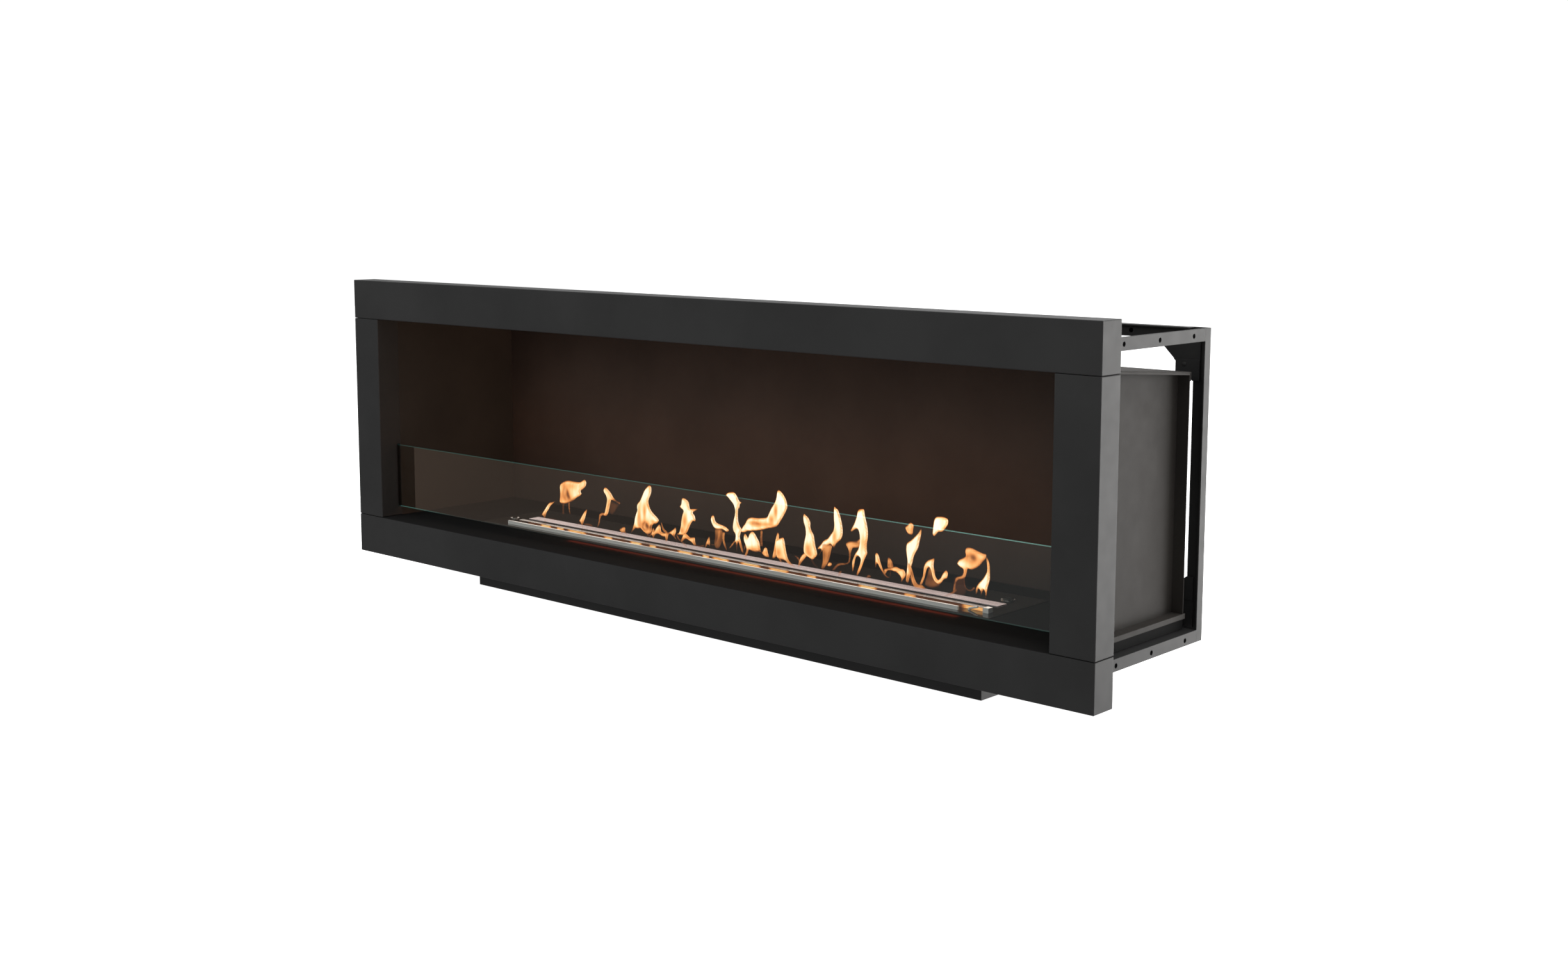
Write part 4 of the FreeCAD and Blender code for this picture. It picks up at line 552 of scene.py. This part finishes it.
def clear_glass(name):
    """Float glass: clear faces that mirror a little with a painted tint, and green-blue cut edges
    with painted light and shade.
    """
    material, tree = new_material(name)
    place = object_place(tree)
    along = map_range(tree, place["X"], -GLASS_PAINTED_SPAN, GLASS_PAINTED_SPAN)
    clear = add_node(tree, "BsdfTransparent", {"Color": (0.95, 0.97, 0.965, 1)}).outputs["BSDF"]
    is_face = maths(tree, "GREATER_THAN", maths(tree, "ABSOLUTE", facing(tree)["Y"]), GLASS_FACING)
    surface(tree, mix_shaders(tree, is_face, glass_edges(tree, clear, along, place["Z"]),
                              glass_faces(tree, clear, along)))
    return material


def circuit_board(name):
    """Green board with a faint pattern of tracks."""
    material, tree = new_material(name)
    tracks = add_node(tree, "TexBrick", {
        "Vector": in_object(tree), "Scale": 60.0, "Color1": (0.015, 0.14, 0.06, 1),
        "Color2": (0.02, 0.10, 0.05, 1), "Mortar": (0.08, 0.25, 0.10, 1)})
    principled(tree, {"Base Color": tracks.outputs["Color"], "Roughness": 0.35})
    return material


def flame(name):
    """A flame: white-hot inside, with an orange fringe, brown and thin where it is cool.
    How hot and how opaque it is are written on each flame's mesh."""
    material, tree = new_material(name)
    wisps = scaled_noise(tree, 42.0, stretch=(2.2, 1.0, 0.6), detail=2.0)
    heat = maths(tree, "MULTIPLY", mesh_value(tree, "flame_heat"), between(tree, wisps, 0.82, 1.1))
    colour = colour_ramp(tree, heat, [
        (0.0, (0.08, 0.03, 0.02)), (0.24, (0.30, 0.09, 0.03)), (0.43, (0.68, 0.23, 0.06)),
        (0.60, (1.0, 0.42, 0.14)), (0.78, (1.0, 0.66, 0.32)), (0.95, (1.0, 0.92, 0.70))])
    light = add_node(tree, "Emission", {"Color": colour, "Strength": 1.35})
    clear = add_node(tree, "BsdfTransparent")
    # what both of a flame's walls let through is one minus its cover: each wall, the square root
    seen_through = maths(tree, "SUBTRACT", 1.0, mesh_value(tree, "flame_cover"))
    surface(tree, mix_shaders(tree, maths(tree, "SQRT", seen_through), light.outputs["Emission"],
                              clear.outputs["BSDF"]))
    return material


def window_fire(name):
    """Fire seen in the inner rail's windows: yellow in the middle, brown at the ends."""
    material, tree = new_material(name)
    streaks = scaled_noise(tree, 40.0, stretch=(1, 1, 14), detail=3.0)
    heat = maths(tree, "MULTIPLY", mesh_value(tree, "glow"), between(tree, streaks, 0.55, 1.2))
    colour = colour_ramp(tree, heat, [
        (0.0, (0.03, 0.01, 0.005)), (0.25, (0.16, 0.05, 0.02)), (0.5, (0.60, 0.20, 0.05)),
        (0.8, (1.0, 0.42, 0.12)), (1.0, (1.0, 0.66, 0.29))])
    light = add_node(tree, "Emission", {"Color": colour})
    clear = add_node(tree, "BsdfTransparent")
    cover = map_range(tree, heat, 0.0, 0.3)
    surface(tree, mix_shaders(tree, cover, clear.outputs["BSDF"], light.outputs["Emission"]))
    return material


# ------------------------------------------------------------------ flame shapes
def smooth_points(points, closed):
    """Samples of a smooth curve through the points (Catmull-Rom)."""
    if closed:
        ends = [points[-1]] + list(points) + [points[0], points[1]]
    else:
        ends = [points[0]] + list(points) + [points[-1]]
    samples = []
    for index in range(1, len(ends) - 2):
        before, start, stop, after = ends[index - 1:index + 3]
        for step in range(FLAME_STEPS):
            t = step / FLAME_STEPS
            sample = []
            for a, b, c, d in zip(before, start, stop, after):
                value = 2 * b + (c - a) * t + (2 * a - 5 * b + 4 * c - d) * t * t
                value += (3 * b - a - 3 * c + d) * t ** 3
                sample.append(value / 2)
            samples.append(sample)
    if not closed:
        samples.append(list(points[-1]))
    return samples


def strand_outline(points):
    """The outline of a thin flame, from the widths along its middle."""
    path = smooth_points(points, False)
    right, left = [], []
    for index, (x, z, half) in enumerate(path):
        before = path[max(0, index - 1)]
        after = path[min(len(path) - 1, index + 1)]
        run = Vector((after[0] - before[0], after[1] - before[1])).normalized()
        half = max(half, STRAND_LEAST)
        right.append((x + run.y * half, z - run.x * half))
        left.append((x - run.y * half, z + run.x * half))
    return right + left[::-1]


def grid_over(outline):
    """Points in staggered rows over the box round an outline."""
    xs, zs = [x for x, z in outline], [z for x, z in outline]
    grid = []
    row = 0
    z = min(zs) + FLAME_CELL / 2
    while z < max(zs):
        x = min(xs) + FLAME_CELL * (0.5 + 0.5 * (row % 2))
        while x < max(xs):
            grid.append(Vector((x, z)))
            x += FLAME_CELL
        z += FLAME_CELL
        row += 1
    return grid


def depths_in(rim, points):
    """How far each point is from the rim."""
    samples = []
    for index, start in enumerate(rim):
        stop = rim[(index + 1) % len(rim)]
        pieces = max(1, round((stop - start).length / DEPTH_SPACING))
        samples += [start.lerp(stop, piece / pieces) for piece in range(pieces)]
    tree = KDTree(len(samples))
    for index, sample in enumerate(samples):
        tree.insert((sample.x, sample.y, 0), index)
    tree.balance()
    return [tree.find((point.x, point.y, 0))[2] for point in points]


def fill_outline(outline):
    """Triangles inside an outline, and how far each of their points is from it."""
    rim = [Vector(point) for point in outline]
    only_inside, tolerance = 1, 0.001
    filled = delaunay_2d_cdt(rim + grid_over(outline), [], [list(range(len(rim)))],
                             only_inside, tolerance)
    points, faces = filled[0], filled[2]
    used = sorted({index for face in faces for index in face})
    renumbered = {old: new for new, old in enumerate(used)}
    kept = [points[index] for index in used]
    faces = [[renumbered[index] for index in face] for face in faces]
    return kept, faces, depths_in(rim, kept)


def smooth_step(value, low, high):
    t = min(1.0, max(0.0, (value - low) / (high - low)))
    return t * t * (3 - 2 * t)


def fade(value, low, high, least):
    """A share that rises smoothly from least to one as the value goes from low to high."""
    return least + (1 - least) * smooth_step(value, low, high)


def heat_at(point, depth, warmth, hollows):
    """How hot a flame is: cooler along its outline, in its hollows and at its foot."""
    heat = warmth * fade(depth, *HEAT_BY_DEPTH)
    for x, z, half_width, half_height, cooler in hollows:
        reach = ((point.x - x) / half_width) ** 2 + ((point.y - z) / half_height) ** 2
        heat -= cooler * math.exp(-reach)
    return max(0.0, heat * fade(point.y, *HEAT_BY_HEIGHT))


def cover_at(point, depth, opacity, heat):
    """How opaque a flame is: less at its outline and its foot, and where it is cool."""
    cover = opacity * fade(depth, *COVER_BY_DEPTH)
    return cover * fade(heat, *COVER_BY_HEAT) * fade(point.y, *COVER_BY_HEIGHT)


def flame_mesh(name, number, warmth, opacity, hollows, outline):
    """A closed, lens-shaped flame whose points know how hot and how opaque they are."""
    points, faces, depths = fill_outline(outline)
    middle_y = FLAME_Y + FLAME_SWAY * math.sin(SWAY_TURN * number)
    vertices, heats, covers, back = [], [], [], {}
    for side in (-1, 1):
        for index, (point, depth) in enumerate(zip(points, depths)):
            if side > 0 and depth < ON_OUTLINE:
                back[index] = index
                continue
            if side > 0:
                back[index] = len(vertices)
            heat = heat_at(point, depth, warmth, hollows)
            heats.append(heat)
            covers.append(cover_at(point, depth, opacity, heat))
            inward = min(1.0, depth / FLAME_SHOULDER)
            bulge = FLAME_THICKNESS * math.sin(0.5 * math.pi * inward)
            vertices.append((point.x * MM, (middle_y + side * bulge) * MM, point.y * MM))
    # a triangle whose corners are all on the outline is used once
    rears = [[back[index] for index in face][::-1] for face in faces]
    both = faces + [rear for rear, front in zip(rears, faces) if sorted(rear) != sorted(front)]
    mesh = bpy.data.meshes.new(name)
    mesh.from_pydata(vertices, [], both)
    for label, values in (("flame_heat", heats), ("flame_cover", covers)):
        mesh.attributes.new(label, "FLOAT", "POINT").data.foreach_set("value", values)
    mesh.polygons.foreach_set("use_smooth", [True] * len(both))
    mesh.update()
    return mesh


# ------------------------------------------------------------------ pieces beside the CAD
def add_piece(name, mesh):
    """A visible piece that rides on the fireplace."""
    obj = bpy.data.objects.new(name, mesh)
    bpy.context.collection.objects.link(obj)
    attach(obj, ROOT)
    return obj


def light_flames():
    """All the flames, one piece each."""
    shapes = []
    for name, (warmth, opacity, hollows, points) in SHEETS.items():
        shapes.append((name, warmth, opacity, hollows, smooth_points(points, True)))
    for name, (warmth, opacity, points) in STRANDS.items():
        shapes.append((name, warmth, opacity, [], strand_outline(points)))
    material = flame("flame")
    for number, (name, *shape) in enumerate(shapes):
        mesh = flame_mesh("flame_" + name, number, *shape)
        mesh.materials.append(material)
        add_piece("flame_" + name, mesh).visible_diffuse = False


def fire_at(x):
    """How brightly the fire shows at a place along the inner rail."""
    glow = GLOW_BASE
    for middle, length in GLOW_WINDOWS:
        glow += smooth_step(GLOW_REACH * length - abs(x - middle), 0, GLOW_FADE * length)
    return min(glow, 1.0)


def light_windows():
    """Fire in front of the inner rail's perforations: a thin closed strip."""
    low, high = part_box("burner_inner_rail")
    front, back = [low[1] - ahead * MM for ahead in GLOW_AHEAD]
    bottom, top = low[2] + GLOW_MARGINS[0] * MM, high[2] - GLOW_MARGINS[1] * MM
    corners = ((front, bottom), (front, top), (back, top), (back, bottom))
    start, stop = GLOW_ENDS
    count = round((stop - start) / GLOW_STEP)
    vertices, glow = [], []
    for step in range(count + 1):
        x = start + step * GLOW_STEP
        vertices += [(x * MM, y, z) for y, z in corners]
        glow += [fire_at(x)] * 4
    faces = [(0, 1, 2, 3), tuple(4 * count + corner for corner in (3, 2, 1, 0))]
    for step in range(count):
        for corner in range(4):
            a, b = 4 * step + corner, 4 * step + (corner + 1) % 4
            faces.append((a, a + 4, b + 4, b))
    mesh = bpy.data.meshes.new("window_glow")
    mesh.from_pydata(vertices, [], faces)
    mesh.attributes.new("glow", "FLOAT", "POINT").data.foreach_set("value", glow)
    mesh.materials.append(window_fire("window_fire"))
    add_piece("window_glow", mesh).visible_diffuse = False


def shade_disc_places():
    """The middle of each black disc's face, and the direction in which it looks."""
    side_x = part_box("frame_right_bottom_rail")[1][0] - HOLE_RECESS * MM
    rear_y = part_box("frame_rear_bottom_rail")[1][1] - HOLE_RECESS * MM
    sides = [(sign * side_x, y * MM, z * MM, (sign, 0, 0))
             for sign in (-1, 1) for y in SIDE_HOLES for z in HOLE_HEIGHTS]
    backs = [(x * MM, rear_y, z * MM, (0, 1, 0)) for x in REAR_HOLES for z in HOLE_HEIGHTS]
    return sides + backs


def shade_discs_in_holes():
    """Painted shade: a thin black dish in each mounting hole of the frame, standing in for the dark
    inside of the hole.
    """
    vertices, faces = [], []
    up = Vector((0, 0, 1))
    for x, y, z, direction in shade_disc_places():
        out = Vector(direction)
        across = up.cross(out)
        first = len(vertices)
        for radius, depth in SHADE_DISC_RINGS:
            for step in range(SHADE_DISC_SIDES):
                angle = 2 * math.pi * step / SHADE_DISC_SIDES
                spoke = across * math.cos(angle) + up * math.sin(angle)
                vertices.append(Vector((x, y, z)) - out * depth * MM + spoke * radius * MM)
        last = first + (len(SHADE_DISC_RINGS) - 1) * SHADE_DISC_SIDES
        for ring in range(first, last, SHADE_DISC_SIDES):
            for step in range(SHADE_DISC_SIDES):
                a = ring + step
                b = ring + (step + 1) % SHADE_DISC_SIDES
                faces.append((a, b, b + SHADE_DISC_SIDES, a + SHADE_DISC_SIDES))
        faces.append(tuple(first + step for step in range(SHADE_DISC_SIDES))[::-1])
        faces.append(tuple(last + step for step in range(SHADE_DISC_SIDES)))
    mesh = bpy.data.meshes.new("hole_shade_discs")
    mesh.from_pydata(vertices, [], faces)
    # the black stands in for the shade inside the holes
    mesh.materials.append(dull_plastic("hole_shade_black", grey(0.003), roughness=0.9, specular=0.0))
    add_piece("hole_shade_discs", mesh)


def wind_spring(cad):
    """The button's coil spring as a piece of its own: a copy of the CAD's spring, whose own part is
    hidden.
    """
    obj = add_piece("spring_coil", cad["button_spring"].data.copy())
    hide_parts("button_spring")
    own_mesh(obj)


# ------------------------------------------------------------------ dressing the CAD
def dress(cad, material, *names):
    for name in names:
        mesh = cad[name].data
        mesh.materials.clear()
        mesh.materials.append(material)


def names_with(cad, *stems):
    return [name for name in cad if name.startswith(stems)]


def dress_shell(cad):
    """The trim, the mounting frame and the firebox."""
    trim = powder_paint("trim_paint", grey(0.025), roughness=0.48, specular=0.30)
    sill = powder_paint("sill_paint", grey(0.025), roughness=0.48, specular=0.30, matt_and_shaded_top=True)
    frame_paint = powder_paint("frame_paint", grey(0.026), roughness=0.45, specular=0.23)
    chamber = powder_paint("chamber_paint", (0.027, 0.0235, 0.0205), roughness=0.62,
                           specular=0.25, grain=700.0, grain_height=0.0002)
    floor_paint = powder_paint("floor_paint", grey(0.020), roughness=0.8, specular=0.05)
    zinc = brushed_metal("zinc", (0.36, 0.36, 0.35), (0.46, 0.46, 0.44), roughness=0.4)
    dress(cad, trim, *names_with(cad, "trim_"))
    # the sill's upward faces carry painted shade
    dress(cad, sill, "trim_bottom_rail")
    dress(cad, frame_paint, *names_with(cad, "frame_", "upper_gusset", "lower_gusset"),
          "stay_bolts", "stay_spacers", "sheet_rivets")
    dress(cad, chamber, *names_with(cad, "firebox_"))
    dress(cad, floor_paint, "firebox_floor_pan")
    dress(cad, zinc, "trim_bolts", "casing_studs")
    dress(cad, clear_glass("pane_glass"), "glass_pane")


def dress_burner(cad):
    """The burner as seen from outside, with its cap and its button."""
    casing = powder_paint("casing_paint", grey(0.018), roughness=0.5)
    plate = powder_paint("plate_paint", (0.040, 0.042, 0.040), roughness=0.1, specular=0.5,
                         grain_height=0.00001)
    bright = brushed_metal("bright_rail", (0.80, 0.77, 0.73), (0.95, 0.93, 0.90),
                           roughness=0.18, metallic=0.35)
    tinted = brushed_metal("heat_tinted", (0.42, 0.34, 0.36), (0.62, 0.52, 0.54),
                           roughness=0.25, metallic=0.5)
    dress(cad, casing, "burner_casing")
    dress(cad, plate, "burner_top_plate", "filler_cap", "power_button")
    dress(cad, bright, "burner_front_rail", "burner_end_block", "igniter_rod")
    dress(cad, lip_steel("sooted_lip_painted_highlight"), "burner_inner_rail")
    dress(cad, tinted, "burner_rear_rail")


def dress_insides(cad):
    """What is inside the casing, and the black plastic parts."""
    steel = brushed_metal("stainless", (0.50, 0.48, 0.47), (0.62, 0.60, 0.58), roughness=0.24)
    alloy = brushed_metal("cast_alloy", (0.5, 0.5, 0.5), (0.6, 0.6, 0.61), roughness=0.42)
    brass = brushed_metal("contact_brass", (0.62, 0.45, 0.2), (0.72, 0.55, 0.27), roughness=0.3)
    dress(cad, steel, "burner_trough", "vapour_tube", "heater_element", "filler_neck",
          "fuel_tank", "float_stem", "button_switch", "button_spring", "fuel_lines")
    dress(cad, alloy, "fuel_pump", "power_supply")
    dress(cad, brass, "inlet_pins")
    dress(cad, dull_plastic("black_plastic", grey(0.006), roughness=0.35), "glass_channel_left",
          "glass_channel_right", "fan_frame", "fan_rotor", "power_inlet")
    dress(cad, dull_plastic("foot_rubber", grey(0.02), roughness=0.75), "tank_feet")
    dress(cad, dull_plastic("float_plastic", (0.75, 0.74, 0.70)), "level_float")
    dress(cad, circuit_board("board_green"), "control_board")


# ------------------------------------------------------------------ studio
def area_light(name, place, target, size, power, colour=(1, 1, 1), glossy=True, only=()):
    """A soft light. It lights everything, or only the objects that are given."""
    data = bpy.data.lights.new(name, "AREA")
    data.shape = "RECTANGLE"
    data.size, data.size_y = size
    data.energy = power
    data.color = colour
    obj = bpy.data.objects.new(name, data)
    obj.location = place
    aim = Vector(target) - Vector(place)
    obj.rotation_euler = aim.to_track_quat("-Z", "Y").to_euler()
    obj.visible_camera = False
    obj.visible_glossy = glossy
    bpy.context.collection.objects.link(obj)
    if only:
        receivers = bpy.data.collections.new(name + "_receivers")
        for receiver in only:
            receivers.objects.link(receiver)
        obj.light_linking.receiver_collection = receivers


def studio_lights():
    area_light("side_softbox", place=(2.8, 3.8, 0.0), target=(0.9, 0.0, 0.2), size=(5.0, 2.6),
               power=170, colour=(1.0, 0.985, 0.965))
    area_light("top_softbox", place=(0.5, 1.2, 4.0), target=(0, 0.2, 0), size=(6.0, 4.0),
               power=260)
    area_light("front_fill", place=(-1.5, -4.0, 1.4), target=(0, 0, 0.4), size=(4.0, 2.0),
               power=80, glossy=False)


def fire_lights(cad):
    """The light of the flames on the chamber, the plate and the rails. Only the rails mirror it."""
    back = [cad["firebox_back_panel"], cad["firebox_roof"]]
    side = [cad["firebox_left_side"], cad["trim_left_stile"]]
    plate = [cad["burner_top_plate"], cad["firebox_floor_pan"]]
    rails = [cad[name] for name in ("burner_front_rail", "burner_rear_rail", "burner_inner_rail",
                                    "burner_end_block", "filler_neck", "button_switch",
                                    "igniter_rod")]
    area_light("glow_back", place=(-0.13, -0.02, 0.26), target=(-0.13, 0.16, 0.36),
               size=(1.5, 0.06), power=1.2, colour=(1.0, 0.33, 0.10), glossy=False, only=back)
    area_light("glow_side", place=(0.0, 0.0, 0.30), target=(-0.8, 0.0, 0.36),
               size=(0.3, 0.2), power=2.4, colour=(1.0, 0.62, 0.42), glossy=False, only=side)
    area_light("red_glow", place=(0.12, -0.098, 0.136), target=(0.12, -0.098, 0.12),
               size=(0.95, 0.008), power=0.16, colour=(1.0, 0.12, 0.05), glossy=False, only=plate)
    area_light("rail_sheen", place=(-0.2, 0.12, 0.25), target=(-0.2, -0.05, 0.13),
               size=(1.7, 0.26), power=3.6, colour=(1.0, 0.86, 0.77), only=rails)


def world():
    """White as seen behind the object, and a soft uneven studio for lighting it."""
    scene_world = bpy.data.worlds.new("studio")
    bpy.context.scene.world = scene_world
    scene_world.use_nodes = True
    tree = scene_world.node_tree
    tree.nodes.clear()
    place = add_node(tree, "TexCoord").outputs["Generated"]
    toward = dot(tree, place, Vector(STUDIO_BRIGHT_SIDE).normalized())
    level = map_range(tree, toward, -1.0, 1.0, *STUDIO_STRENGTH)
    lit = add_node(tree, "Background", {"Strength": level})
    seen = add_node(tree, "Background", {"Color": (1, 1, 1, 1), "Strength": STUDIO_WHITE})
    by_camera = add_node(tree, "LightPath").outputs["Is Camera Ray"]
    add_node(tree, "OutputWorld", {"Surface": mix_shaders(
        tree, by_camera, lit.outputs["Background"], seen.outputs["Background"])})


def floor_white(name):
    """White to the camera. What bounces off it grows from the front left to the rear right."""
    material, tree = new_material(name)
    clouds = scaled_noise(tree, 1.5)
    shader = add_node(tree, "BsdfPrincipled", {
        "Base Color": colour_ramp(tree, clouds, [(0.3, grey(0.86)), (0.7, grey(0.9))]),
        "Roughness": 0.9, "Emission Color": (1, 1, 1, 1), "Emission Strength": 1.0})
    to_rear_right = dot(tree, in_object(tree), (0.25, 0.25, 0))
    bounce = add_node(tree, "BsdfDiffuse", {"Color": colour_ramp(
        tree, to_rear_right, [(0.0, grey(0.14)), (0.6, grey(0.85))])})
    by_camera = add_node(tree, "LightPath").outputs["Is Camera Ray"]
    surface(tree, mix_shaders(tree, by_camera, bounce.outputs["BSDF"], shader.outputs["BSDF"]))
    return material


def pale_floor():
    mesh = bpy.data.meshes.new("floor")
    corners = ((-1, -1), (1, -1), (1, 1), (-1, 1))
    mesh.from_pydata([(x * FLOOR_HALF, y * FLOOR_HALF, -FLOOR_DROP) for x, y in corners], [],
                     [(0, 1, 2, 3)])
    mesh.materials.append(floor_white("pale_floor"))
    floor = bpy.data.objects.new("floor", mesh)
    floor.visible_shadow = False
    floor.visible_glossy = False
    bpy.context.collection.objects.link(floor)


def camera():
    data = bpy.data.cameras.new("camera")
    data.sensor_width = CAMERA_SENSOR
    data.lens = CAMERA_LENS
    data.shift_y = CAMERA_SHIFT_Y
    obj = bpy.data.objects.new("camera", data)
    forward = Vector(CAMERA_FORWARD).normalized()
    right = Vector(CAMERA_RIGHT).normalized()
    up = right.cross(forward)
    turn = Matrix((right, up, -forward)).transposed()
    obj.matrix_world = Matrix.Translation(CAMERA_PLACE) @ turn.to_4x4()
    bpy.context.collection.objects.link(obj)
    bpy.context.scene.camera = obj


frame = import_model()
cad_nodes = frame["nodes"]
bpy.context.scene.view_settings.view_transform = "Standard"
dress_shell(cad_nodes)
dress_burner(cad_nodes)
dress_insides(cad_nodes)
wind_spring(cad_nodes)
light_flames()
light_windows()
shade_discs_in_holes()
studio_lights()
fire_lights(cad_nodes)
world()
pale_floor()
camera()
